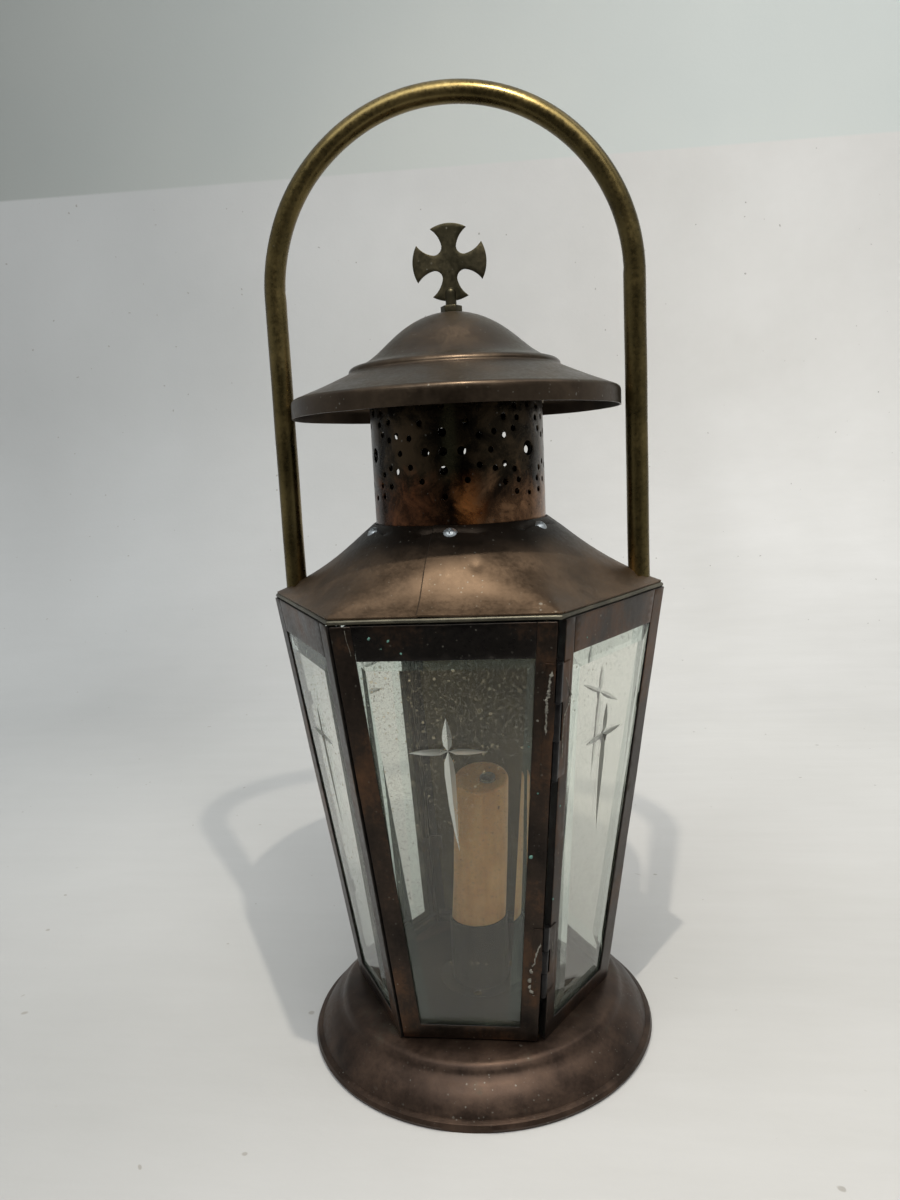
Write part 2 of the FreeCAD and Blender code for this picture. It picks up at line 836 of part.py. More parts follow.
def cap():
    """A spun bell with a step and a flared brim, its lip turned down."""
    def at(radius, rise):
        return (radius, lip_bottom + rise)
    brim_start = cap_radius - brim_width
    flare_mid = (step_radius + (brim_start - step_radius) * 0.4,
                 brim_rise + (step_foot - brim_rise) * 0.42)
    fall = cap_height - dome_foot
    sphere = (dome_radius ** 2 + fall ** 2) / (2 * fall)
    half_way = math.asin(dome_radius / sphere) / 2
    dome_mid = at(sphere * math.sin(half_way), cap_height - sphere * (1 - math.cos(half_way)))
    top = outline(at(0, cap_height), [
        [dome_mid, at(dome_radius, dome_foot)],
        [at(dome_radius + (step_radius - step_corner - dome_radius) * 0.42,
            step_top + (dome_foot - step_top) * 0.34),
         at(step_radius - step_corner, step_top)],
        [at(step_radius - step_corner * 0.25, step_top - step_corner * 0.3), at(step_radius, step_foot)],
        [at(*flare_mid), at(brim_start, brim_rise)],
        [at(cap_radius - 2 * brim_edge, lip_height + brim_edge_rise)],
        [at(cap_radius - brim_edge * 0.4, lip_height + lip_round_rise),
         at(cap_radius, lip_height - lip_round_drop)],
        [at(cap_radius, 0)]])
    skin = spun(top.makeOffset2D(-cap_wall, 0, True, True))
    return skin.cut(rod(post_radius + post_fit, lip_bottom, cap_top + 5))


def bridge():
    """A strap across the chimney with its ends turned up against the wall."""
    fit_radius = chimney_radius - chimney_wall - bridge_fit
    high = chimney_top - bridge_drop
    low = high - bridge_thickness
    end_top = chimney_top - bridge_end_drop
    across = Part.makeBox(FAR, bridge_width, end_top - low, Vector(-FAR / 2, -bridge_width / 2, low))
    strap = rod(fit_radius, low, high)
    wall = rod(fit_radius, low, end_top).cut(rod(fit_radius - bridge_thickness, low - 1, end_top + 1))
    shape = joined([strap, wall]).common(across)
    return shape.cut([rod(post_radius + post_fit, low - 1, high + 1)] + bridge_rivet_holes())


def bridge_rivets():
    inner = chimney_radius - chimney_wall - bridge_fit - bridge_thickness
    low = inner - bridge_fit
    high = chimney_radius + bridge_fit
    head = dome_head(bridge_rivet_head, rivet_head_height)
    rivet = joined([rod(bridge_rivet_radius, low, high), head.translated(Vector(0, 0, high)),
                    upside_down(head).translated(Vector(0, 0, low))])
    height = chimney_top - bridge_rivet_drop
    return group([placed(rivet, Vector(0, 0, height), Vector(0, 0, 1), tangent(angle) * -1, around(angle))
                  for angle in (90, -90)])


def post_bottom():
    return chimney_top - bridge_drop - bridge_thickness - lock_nut_height - post_end


def finial_post():
    """A rod from the bridge through the cap, slotted at the top for the cross."""
    tip = cap_top + post_rise
    round_off = post_radius * (1 - math.sqrt(0.5))
    low = post_bottom()
    shape = spun(outline((0, low), [
        [(post_radius, low)], [(post_radius, tip - post_radius)],
        [(post_radius - round_off, tip - round_off), (0, tip)], [(0, low)]]))
    slot_bottom = cross_centre - cross_radius - cross_fit
    half = cross_thickness / 2 + cross_fit
    slot = Part.makeBox(4 * post_radius, 2 * half, FAR, Vector(-2 * post_radius, -half, slot_bottom))
    return shape.cut(slot)


def post_nuts():
    """Nuts on the post below and above the bridge, and one that carries the cap."""
    nut = hexagon_nut(lock_nut_width, lock_nut_height, post_radius + post_fit)
    bridge_high = chimney_top - bridge_drop
    lows = [bridge_high - bridge_thickness - lock_nut_height, bridge_high,
            cap_top - cap_wall - lock_nut_seat - lock_nut_height]
    return group([nut.translated(Vector(0, 0, low)) for low in lows])


def finial_cross():
    """A flat cross with four flared arms that end on one circle."""
    def at(x, z, quarter):
        turn = math.radians(90 * quarter)
        return Vector(x * math.cos(turn) - z * math.sin(turn), -cross_thickness / 2,
                      cross_centre + x * math.sin(turn) + z * math.cos(turn))
    tip = math.radians(cross_tip_angle)
    tip_far = cross_radius * math.cos(tip)
    tip_half = cross_radius * math.sin(tip)
    notch_radius = cross_notch - cross_neck
    hollow = cross_notch - notch_radius * math.sqrt(0.5)
    edges = []
    for quarter in range(4):
        edges.append(Part.Arc(at(tip_far, -tip_half, quarter), at(cross_radius, 0, quarter),
                              at(tip_far, tip_half, quarter)).toShape())
        edges.append(Part.Arc(at(tip_far, tip_half, quarter), at(cross_flare_out, cross_flare_half, quarter),
                              at(cross_notch, cross_neck, quarter)).toShape())
        edges.append(Part.Arc(at(cross_notch, cross_neck, quarter), at(hollow, hollow, quarter),
                              at(cross_neck, cross_notch, quarter)).toShape())
        edges.append(Part.Arc(at(cross_neck, cross_notch, quarter),
                              at(cross_flare_half, cross_flare_out, quarter),
                              at(tip_half, tip_far, quarter)).toShape())
    return Part.Face(Part.Wire(edges)).extrude(Vector(0, cross_thickness, 0))


# The handle

def arch(radius):
    """A round bar bent over the lantern, its legs running down into the roof."""
    start = eave_top + leg_start
    legs = [rod(radius, start, leg_top, side * handle_radius) for side in (-1, 1)]
    disc = Part.Face(Part.Wire(Part.makeCircle(radius, Vector(handle_radius, 0, leg_top), Vector(0, 0, 1))))
    bend = disc.revolve(Vector(0, 0, leg_top), Vector(0, -1, 0), 180)
    return legs + [bend]


def handle(mass):
    solid = joined(arch(tube_radius))
    bore = joined(arch(tube_radius - tube_wall))
    lifted = mass.translated(Vector(0, 0, handle_fit))
    return solid.cut(bore).cut(lifted)


def handle_studs(mass):
    """Plugs in the ends of the tube, each with a stud through the roof."""
    lifted = mass.translated(Vector(0, 0, handle_fit))
    low = body_top + spacer_seat - stud_nut_height - stud_end
    studs = []
    for side in (-1, 1):
        x = side * handle_radius
        crown = eave_top + leg_start + plug_length
        plug = rod(tube_radius - tube_wall - plug_fit, eave_top + leg_start, crown, x).cut(lifted)
        studs.append(joined([plug, rod(stud_radius, low, crown, x)]))
    return group(studs)


def handle_spacers(mass):
    """Short bushes under the roof, shaped to its slope above and flat below."""
    under = mass.translated(Vector(0, 0, -roof_thickness - spacer_fit))
    low = body_top + spacer_seat
    result = []
    for side in (-1, 1):
        x = side * handle_radius
        bush = rod(spacer_radius, low, low + spacer_reach, x).common(under)
        result.append(bush.cut(rod(stud_radius + stud_fit, low - 1, low + spacer_reach + 1, x)))
    return group(result)


def handle_nuts():
    nut = hexagon_nut(stud_nut_width, stud_nut_height, stud_radius + stud_fit)
    low = body_top + spacer_seat - stud_nut_height
    return group([nut.translated(Vector(side * handle_radius, 0, low)) for side in (-1, 1)])


# The assembly

mass = roof_mass()
under_roof = mass.translated(Vector(0, 0, -roof_thickness))
roof_holes = [rod(chimney_radius + chimney_clearance, body_top, roof_top + 5)]
roof_holes += on_screws(screw_hole())
roof_holes += [rod(stud_radius + stud_hole_clearance, body_top, roof_top, side * handle_radius)
               for side in (-1, 1)]

nut_below = hexagon_nut(screw_nut_width, screw_nut_height, screw_radius + post_fit)
nut_below.rotate(Vector(0, 0, 0), Vector(0, 0, 1), 30)
nut_below.translate(Vector(0, 0, -flange_depth() - screw_nut_height))

frame_knuckles = tuple(range(0, knuckle_count, 2))
door_knuckles = tuple(range(1, knuckle_count, 2))
glass_back = glass_face_depth + glass_thickness + clip_gap
sheet_back = sheet + back_sheet + clip_gap

parts = {
    "foot": foot(),
    "candle_cup": candle_cup(),
    "candle_cup_rivets": cup_rivets(),
    "candle": candle(),
    "wick_tube": wick_tube(),
    "wick": wick(),
    "door_frame": panel_frame(door_bottom, door_top, door_free_gap, door_hinge_gap),
    "door_top_band": top_band(door_top),
    "door_glass": glass(0),
    "door_glass_clips": group(clips(glass_back, door_free_gap, door_hinge_gap)),
    "door_hinge_leaves": hinge_leaves(0, door_hinge_gap, door_knuckles),
    "frame_hinge_leaves": hinge_leaves(full_turn, hinge_side_panel_gap, frame_knuckles),
    "hinge_pins": hinge_pins(),
    "door_catch_spring": catch_spring(),
    "roof": mass.cut(under_roof).cut(roof_holes),
    "eave_moulding": eave_moulding(),
    "chimney": chimney(mass),
    "chimney_screws": group(on_screws(chimney_screw())),
    "chimney_nuts": group(on_screws(nut_below)),
    "smoke_cap": cap(),
    "cap_bridge": bridge(),
    "cap_bridge_rivets": bridge_rivets(),
    "finial_post": finial_post(),
    "finial_nut": hexagon_nut(finial_nut_width, finial_nut_height, post_radius + post_fit).translated(
        Vector(0, 0, cap_top)),
    "post_nuts": post_nuts(),
    "finial_cross": finial_cross(),
    "handle": handle(mass),
    "handle_studs": handle_studs(mass),
    "handle_spacers": handle_spacers(mass),
    "handle_nuts": handle_nuts(),
}

band = top_band(body_top)
side_glass = glass(side_cross_drop)
side_clips = []
panel_names = {1: "right_front", 2: "right_rear", 3: "back", 4: "left_rear", 5: "left_front"}
for index, name in panel_names.items():
    turn = index * full_turn
    left_gap = hinge_side_panel_gap if index == 1 else panel_gap
    frame = panel_frame(foot_height, body_top, left_gap, panel_gap)
    parts[name + "_frame"] = turned(frame, turn)
    parts[name + "_top_band"] = turned(band, turn)
    if name == "back":
        parts["back_sheet"] = turned(plain_sheet(), turn)
        side_clips += [turned(clip, turn) for clip in clips(sheet_back, left_gap, panel_gap)]
    else:
        parts[name + "_glass"] = turned(side_glass, turn)
        side_clips += [turned(clip, turn) for clip in clips(glass_back, left_gap, panel_gap)]
parts["panel_glass_clips"] = group(side_clips)

for name, shape in parts.items():
    shape.exportStep("parts/" + name + ".step")
    solids = shape.Solids
    print(name, len(solids), "solids", round(shape.Volume, 1), "mm3", "valid" if shape.isValid() else "BAD")
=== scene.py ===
import math
import random

import bmesh
import bpy
from mathutils import Matrix, Vector, noise
from mathutils.bvhtree import BVHTree
from mathutils.geometry import delaunay_2d_cdt


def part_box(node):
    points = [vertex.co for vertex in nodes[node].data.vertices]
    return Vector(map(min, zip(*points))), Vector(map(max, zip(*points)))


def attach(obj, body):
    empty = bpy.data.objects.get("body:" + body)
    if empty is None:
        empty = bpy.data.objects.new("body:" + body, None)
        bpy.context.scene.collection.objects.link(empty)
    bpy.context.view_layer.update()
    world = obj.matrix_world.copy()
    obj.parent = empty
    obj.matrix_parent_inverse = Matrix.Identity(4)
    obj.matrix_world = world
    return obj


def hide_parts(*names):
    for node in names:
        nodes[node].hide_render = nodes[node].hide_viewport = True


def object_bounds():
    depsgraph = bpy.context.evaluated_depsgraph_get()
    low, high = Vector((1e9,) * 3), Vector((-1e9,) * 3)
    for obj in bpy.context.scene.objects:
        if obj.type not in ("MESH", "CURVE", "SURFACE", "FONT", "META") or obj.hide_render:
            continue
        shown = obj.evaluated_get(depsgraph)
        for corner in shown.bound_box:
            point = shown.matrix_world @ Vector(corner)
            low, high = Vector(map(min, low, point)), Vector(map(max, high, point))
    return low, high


# Processional lantern: the looks of its sheets, panes, candle and handle.
# Metres, +Z up. The door faces -Y, and angles round the lantern count from -Y towards +X.

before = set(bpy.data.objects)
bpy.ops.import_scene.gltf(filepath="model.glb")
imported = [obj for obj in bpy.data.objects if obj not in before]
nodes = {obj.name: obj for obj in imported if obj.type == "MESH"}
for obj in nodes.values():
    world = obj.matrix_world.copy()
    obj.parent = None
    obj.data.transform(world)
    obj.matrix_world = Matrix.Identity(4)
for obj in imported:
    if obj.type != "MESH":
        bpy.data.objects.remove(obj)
cad_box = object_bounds()
cad_low = Vector(cad_box[0])
cad_high = Vector(cad_box[1])

# Sizes shared with the solid model
half_angle = math.radians(30)
foot_height = 0.027
body_height = 0.237
corner_radius_bottom = 0.0766
corner_radius_top = 0.1128
apothem_bottom = corner_radius_bottom * math.cos(half_angle)
apothem_top = corner_radius_top * math.cos(half_angle)
tilt = math.atan((apothem_top - apothem_bottom) / body_height)
body_top = foot_height + body_height
eave_top = body_top + 0.0025
roof_rise = 0.0389
roof_top = eave_top + roof_rise
roof_thickness = 0.0012
eave_setback = 0.0015
eave_rounding = 0.002
collar_radius = 0.0485
collar_slope = 0.805
chimney_radius = 0.048
chimney_wall = 0.0008
chimney_top = roof_top + 0.068
flange_width = 0.0095
lip_bottom = chimney_top - 0.0084
cap_radius = 0.0898
cap_wall = 0.0009
handle_radius = corner_radius_top - 0.0139
tube_radius = 0.006
leg_top = body_top + 0.169
foot_radius = 0.1014
foot_wall = 0.0012
barrel_radius = 0.0017
glass_thickness = 0.004
cross_rise = 0.1728


def around(angle, radius=1.0, height=0.0):
    """The point at an angle round the lantern, in degrees from -Y towards +X."""
    turn = math.radians(angle)
    return Vector((radius * math.sin(turn), -radius * math.cos(turn), height))


def on_panel(angle, across, along, out=0.0):
    """A point of a leaning panel from its own measures: across, up the slope and outwards."""
    radius = apothem_bottom + along * math.sin(tilt) + out * math.cos(tilt)
    side = around(angle + 90, across)
    return around(angle, radius, foot_height + along * math.cos(tilt) - out * math.sin(tilt)) + side


# Materials

class Graph:
    """Short calls that build one node tree."""

    def __init__(self, tree, place="Object"):
        self.tree = tree
        tree.nodes.clear()
        self.place = self.add("ShaderNodeTexCoord").outputs[place]

    def add(self, kind, inputs=None, **settings):
        node = self.tree.nodes.new(kind)
        for key, value in settings.items():
            setattr(node, key, value)
        for key, value in (inputs or {}).items():
            if isinstance(value, bpy.types.NodeSocket):
                self.tree.links.new(value, node.inputs[key])
            elif node.inputs[key].type == "RGBA":
                node.inputs[key].default_value = (*value, 1.0)
            else:
                node.inputs[key].default_value = value
        return node

    def stretched(self, x, y, z):
        """The place with each axis scaled, for streaks."""
        return self.add("ShaderNodeMapping", {"Vector": self.place, "Scale": (x, y, z)}).outputs[0]

    def noise(self, scale, detail=4.0, rough=0.6, place=None, warp=0.0):
        place = self.place if place is None else place
        return self.add("ShaderNodeTexNoise", {"Vector": place, "Scale": scale, "Detail": detail,
                                               "Roughness": rough, "Distortion": warp}).outputs[0]

    def fit(self, value, low, high, start=0.0, end=1.0, kind="LINEAR"):
        """A value from one range carried into another, held at its ends."""
        return self.add("ShaderNodeMapRange", {"Value": value, "From Min": low, "From Max": high,
                                               "To Min": start, "To Max": end},
                        interpolation_type=kind).outputs[0]

    def sum(self, first, second, operation="ADD"):
        return self.add("ShaderNodeMath", {0: first, 1: second}, operation=operation).outputs[0]

    def times(self, first, second):
        return self.sum(first, second, "MULTIPLY")

    def blend(self, factor, first, second, kind="MIX"):
        """Two colours in shares: the second by the factor."""
        return self.add("ShaderNodeMix", {0: factor, 6: first, 7: second}, data_type="RGBA",
                        blend_type=kind).outputs[2]

    def shaded(self, colour, factor):
        return self.blend(1.0, colour, factor, "MULTIPLY")

    def ramp(self, value, *stops):
        node = self.add("ShaderNodeValToRGB", {0: value})
        elements = node.color_ramp.elements
        while len(elements) < len(stops):
            elements.new(0.5)
        for element, (position, colour) in zip(elements, stops):
            element.position = position
            element.color = (*colour, 1.0)
        return node.outputs[0]

    def specks(self, scale, size, warp=0.0):
        """Scattered dots of uneven size."""
        place = self.place
        if warp:
            wander = self.add("ShaderNodeTexNoise", {"Vector": self.place, "Scale": scale * 0.9})
            push = self.add("ShaderNodeVectorMath", {0: wander.outputs[1], 3: warp / scale},
                            operation="SCALE")
            place = self.add("ShaderNodeVectorMath", {0: self.place, 1: push.outputs[0]}).outputs[0]
        cells = self.add("ShaderNodeTexVoronoi", {"Vector": place, "Scale": scale})
        luck = self.add("ShaderNodeSeparateColor", {0: cells.outputs["Color"]}).outputs[0]
        reach = self.times(self.sum(luck, 3.0, "POWER"), size)
        return self.fit(self.sum(reach, cells.outputs["Distance"], "SUBTRACT"), 0.0, size * 0.3)

    def split(self):
        """The place's three numbers."""
        node = self.add("ShaderNodeSeparateXYZ", {0: self.place})
        return node.outputs[0], node.outputs[1], node.outputs[2]

    def angle(self):
        """Degrees round the lantern, from -Y towards +X."""
        x, y, _ = self.split()
        return self.times(self.sum(x, self.times(y, -1.0), "ARCTAN2"), 180.0 / math.pi)

    def hill(self, value, middle, reach):
        """One at the middle, falling smoothly to nothing at its reach."""
        away = self.sum(self.sum(value, middle, "SUBTRACT"), 0.0, "ABSOLUTE")
        return self.fit(self.fit(away, 0.0, reach, 1.0, 0.0), 0.0, 1.0, kind="SMOOTHSTEP")

    def bump(self, height, distance, strength=1.0, normal=None):
        inputs = {"Height": height, "Distance": distance, "Strength": strength}
        if normal is not None:
            inputs["Normal"] = normal
        return self.add("ShaderNodeBump", inputs).outputs[0]

    def finish(self, shader):
        self.add("ShaderNodeOutputMaterial", {"Surface": shader.outputs[0]})

    def coat(self, colour, roughness, normal, **more):
        """The closing shader of an opaque finish."""
        inputs = {"Base Color": colour, "Roughness": roughness, "Normal": normal}
        inputs.update({key.replace("_", " "): value for key, value in more.items()})
        self.finish(self.add("ShaderNodeBsdfPrincipled", inputs))

    def dusted(self, share, clear, powder_colour):
        """The closing shader of glass under a share of pale powder."""
        powder = self.add("ShaderNodeBsdfDiffuse", {"Color": powder_colour})
        self.finish(self.add("ShaderNodeMixShader", {0: share, 1: clear.outputs[0], 2: powder.outputs[0]}))


def new_graph(name):
    """A new material and its emptied node tree."""
    material = bpy.data.materials.new(name)
    material.use_nodes = True
    return material, Graph(material.node_tree)


def patina(name, dark, mid, light, rough=(0.3, 0.5), metallic=0.9, streaks=0.0, speckle=0.5,
           green=0.0, blotch=50.0, wave=0.0002, soot_and_shade=None):
    """Sheet copper or brass with uneven tarnish, pale specks and a slightly wavy surface, and painted shade near the
    lantern's axis where asked.
    """
    material, graph = new_graph(name)
    broad = graph.noise(11.0, 3.0, 0.55, warp=0.6)
    cloud = graph.noise(blotch, 5.0, 0.62)
    fine = graph.noise(480.0, 3.0, 0.65)
    tone = graph.sum(graph.times(broad, 0.5), graph.times(cloud, 0.5))
    tone = graph.fit(tone, 0.36, 0.64)
    if streaks:
        lines = graph.noise(1.0, 5.0, 0.6, graph.stretched(330.0, 330.0, 22.0))
        tone = graph.sum(tone, graph.times(graph.fit(lines, 0.3, 0.7, -1.0, 1.0), streaks))
    tone = graph.sum(tone, graph.fit(fine, 0.3, 0.7, -0.1, 0.1))
    colour = graph.ramp(tone, (0.0, dark), (0.5, mid), (1.0, light))
    roughness = graph.fit(graph.times(cloud, fine), 0.14, 0.36, *rough)
    height = graph.sum(graph.times(fine, 0.12), graph.times(cloud, 0.3))
    # Painted shade: darker near the lantern's axis, under the cap on the roof and inside the body on the foot.
    if soot_and_shade:
        x, y, _ = graph.split()
        radius = graph.sum(graph.sum(graph.times(x, x), graph.times(y, y)), 0.5, "POWER")
        axis_shade = graph.fit(graph.sum(radius, graph.times(cloud, 0.008)), *soot_and_shade, 0.0)
        colour = graph.blend(axis_shade, colour, (0.015, 0.011, 0.008))
    if green:
        crust = graph.times(graph.fit(graph.noise(26.0, 5.0, 0.7), 0.6, 0.72), green)
        colour = graph.blend(crust, colour, (0.085, 0.105, 0.08))
        roughness = graph.sum(roughness, graph.times(crust, 0.3))
    if speckle:
        tiny = graph.sum(graph.specks(430.0, 0.30, 0.4), graph.specks(210.0, 0.20, 0.6), "MAXIMUM")
        large = graph.times(graph.specks(70.0, 0.09, 0.9), 0.6)
        dots = graph.times(graph.sum(tiny, large, "MAXIMUM"), speckle)
        dots = graph.times(dots, graph.fit(graph.noise(34.0, 4.0, 0.7), 0.47, 0.62, 0.08, 1.0))
        colour = graph.blend(dots, colour, (0.36, 0.35, 0.30))
        roughness = graph.sum(roughness, graph.times(dots, 0.25))
        height = graph.sum(height, graph.times(dots, 0.5))
    normal = graph.bump(height, 0.00012, 0.6, graph.bump(graph.noise(38.0, 2.0, 0.4), wave * 4, 0.7))
    graph.coat(colour, roughness, normal, Metallic=metallic)
    return material


def clear_glass(name, tint, haze, powder_colour):
    """Window glass with a dusty film, fine specks, hairs and faint wipe marks."""
    material, graph = new_graph(name)
    film = graph.fit(graph.noise(22.0, 6.0, 0.7, warp=0.8), 0.40, 0.66, 0.35, 1.0)
    wipes = graph.noise(1.0, 4.0, 0.7, graph.stretched(60.0, 60.0, 9.0))
    dust = graph.times(graph.times(film, graph.fit(wipes, 0.35, 0.7, 0.7, 1.3)), haze)
    grain = graph.fit(graph.noise(640.0, 4.0, 0.85), 0.53, 0.70)
    grit = graph.sum(graph.specks(420.0, 0.40, 0.7), graph.specks(170.0, 0.20, 0.8), "MAXIMUM")
    grit = graph.times(grit, graph.fit(film, 0.35, 1.0, 0.25, 0.75))
    grit = graph.sum(grit, graph.times(grain, 0.40), "MAXIMUM")
    x, _, z = graph.split()
    grit = graph.times(grit, graph.fit(graph.sum(z, graph.times(x, -1.2)), 0.10, 0.27, 0.35, 1.25))
    dust = graph.sum(dust, grit, "MAXIMUM")
    normal = graph.bump(graph.noise(45.0, 2.0, 0.4), 0.0002, 0.12)
    pane = graph.add("ShaderNodeBsdfPrincipled", {"Base Color": tint, "Roughness": 0.02, "IOR": 1.46,
                                                  "Transmission Weight": 1.0, "Normal": normal})
    graph.dusted(dust, pane, powder_colour)
    return material


def cut_glass():
    """The ground facets of the cut crosses, finely matt and catching the light."""
    material, graph = new_graph("cut_glass")
    grain = graph.noise(70.0, 3.0, 0.6)
    roughness = graph.fit(grain, 0.3, 0.7, 0.26, 0.34)
    pane = graph.add("ShaderNodeBsdfPrincipled", {"Base Color": (0.93, 0.95, 0.92), "Roughness": roughness,
                                                  "IOR": 1.46, "Transmission Weight": 1.0})
    graph.dusted(graph.fit(grain, 0.3, 0.7, 0.30, 0.40), pane, (0.56, 0.56, 0.49))
    return material


def wax(hole):
    """Old candle wax, stained brown round the hole of the wick."""
    material, graph = new_graph("candle_wax")
    cloud = graph.noise(60.0, 5.0, 0.6)
    runs = graph.noise(1.0, 4.0, 0.6, graph.stretched(210.0, 210.0, 24.0))
    tone = graph.sum(graph.times(cloud, 0.6), graph.times(runs, 0.4))
    colour = graph.ramp(tone, (0.3, (0.52, 0.25, 0.085)), (0.5, (0.68, 0.37, 0.14)),
                        (0.7, (0.80, 0.49, 0.22)))
    away = graph.add("ShaderNodeVectorMath", {0: graph.place, 1: hole}, operation="DISTANCE").outputs["Value"]
    stain = graph.fit(graph.sum(away, graph.times(cloud, 0.012)), 0.0078, 0.0145, 0.55, 0.0)
    colour = graph.blend(stain, colour, (0.15, 0.07, 0.028))
    soot_and_shade = graph.fit(graph.sum(away, graph.times(cloud, 0.004)), 0.0062, 0.0072, 0.95, 0.0)
    colour = graph.blend(soot_and_shade, colour, (0.02, 0.012, 0.008))
    pits = graph.specks(170.0, 0.2, 0.6)
    colour = graph.blend(graph.times(pits, 0.8), colour, (0.16, 0.075, 0.03))
    height = graph.sum(graph.times(cloud, 0.6), pits, "SUBTRACT")
    graph.coat(colour, graph.fit(cloud, 0.35, 0.65, 0.38, 0.6), graph.bump(height, 0.0005, 0.6),
               Subsurface_Weight=0.3, Subsurface_Radius=(0.006, 0.003, 0.0015), Subsurface_Scale=1.0)
    return material


def rough_metal(name, low, high, rough, metallic, scale=300.0, depth=0.0003):
    """Cast or plated metal, solder and crusts: two tones in a fine lumpy grain."""
    material, graph = new_graph(name)
    grain = graph.noise(scale, 5.0, 0.65)
    colour = graph.ramp(grain, (0.35, low), (0.65, high))
    graph.coat(colour, graph.fit(grain, 0.3, 0.7, *rough), graph.bump(grain, depth, 0.6), Metallic=metallic)
    return material


def chimney_copper_with_painted_light():
    """The chimney's sheet: near-black above, where the cap's shade is painted in, and bare copper below, with a
    painted orange glint of the lamp and a painted olive reflection.
    """
    material, graph = new_graph("chimney_copper")
    around_it = graph.angle()
    rise = graph.sum(graph.split()[2], roof_top, "SUBTRACT")
    cloud = graph.fit(graph.noise(60.0, 7.0, 0.7, warp=0.6), 0.33, 0.67, 0.2, 0.8)
    fine = graph.noise(650.0, 3.0, 0.7)
    lines = graph.noise(1.0, 5.0, 0.65, graph.stretched(150.0, 150.0, 20.0))
    # Painted shade: near-black above a ragged line where the cap's shade falls, bare copper below it.
    edge = graph.sum(rise, graph.times(graph.sum(graph.times(cloud, 0.4), lines), -0.03))
    lit_below = graph.fit(edge, -0.007, 0.007, 1.0, 0.0)
    patches = graph.fit(graph.noise(30.0, 4.0, 0.6, graph.stretched(1.0, 1.0, 0.6), warp=0.5), 0.38, 0.66)
    lit_below = graph.times(lit_below, graph.fit(patches, 0.0, 1.0, 0.35, 1.0))
    # Painted highlight: an orange glint of the lamp low on the front of the tube.
    painted_glint = graph.times(graph.hill(graph.sum(around_it, graph.times(cloud, 14.0)), 18.0, 12.0),
                       graph.fit(graph.sum(rise, graph.times(lines, 0.012)), 0.018, 0.036, 1.0, 0.0))
    colour = graph.ramp(graph.sum(cloud, graph.times(fine, 0.12)), (0.30, (0.007, 0.005, 0.0035)),
                        (0.52, (0.022, 0.016, 0.009)), (0.75, (0.060, 0.040, 0.022)))
    grained = graph.sum(cloud, graph.times(fine, 0.2))
    red_side = graph.ramp(grained, (0.3, (0.018, 0.007, 0.003)), (0.55, (0.060, 0.022, 0.010)),
                          (0.85, (0.21, 0.075, 0.030)))
    brown_side = graph.ramp(grained, (0.3, (0.045, 0.023, 0.012)), (0.55, (0.13, 0.064, 0.031)),
                            (0.85, (0.34, 0.18, 0.09)))
    copper = graph.blend(graph.fit(around_it, -12.0, 26.0), red_side, brown_side)
    colour = graph.blend(lit_below, colour, copper)
    # Painted reflection: a pale olive streak down the front of the tube.
    olive_reflection = graph.times(graph.hill(graph.sum(around_it, graph.times(lines, 8.0)), 5.0, 8.0),
                        graph.fit(rise, 0.02, 0.034))
    colour = graph.blend(graph.times(olive_reflection, 0.8), colour, (0.115, 0.105, 0.055))
    glint_colour = graph.ramp(grained, (0.30, (0.20, 0.060, 0.017)), (0.80, (0.90, 0.34, 0.10)))
    colour = graph.blend(graph.times(painted_glint, 0.95), colour, glint_colour)
    dots = graph.specks(300.0, 0.22, 0.5)
    colour = graph.blend(graph.times(dots, 0.35), colour, (0.3, 0.28, 0.24))
    roughness = graph.fit(graph.sum(fine, cloud), 0.7, 1.3, 0.22, 0.36)
    normal = graph.bump(graph.sum(graph.times(fine, 0.5), cloud), 0.00014, 0.5,
                        graph.bump(graph.noise(45.0, 2.0, 0.4), 0.0006, 0.6))
    graph.coat(colour, roughness, normal, Metallic=0.95)
    return material


def fibre():
    """Charred cotton."""
    material, graph = new_graph("wick_fibre")
    twist = graph.noise(1.0, 3.0, 0.6, graph.stretched(1500.0, 1500.0, 260.0))
    colour = graph.ramp(twist, (0.3, (0.01, 0.01, 0.01)), (0.7, (0.16, 0.13, 0.1)))
    graph.coat(colour, 0.9, graph.bump(twist, 0.0004, 0.8))
    return material


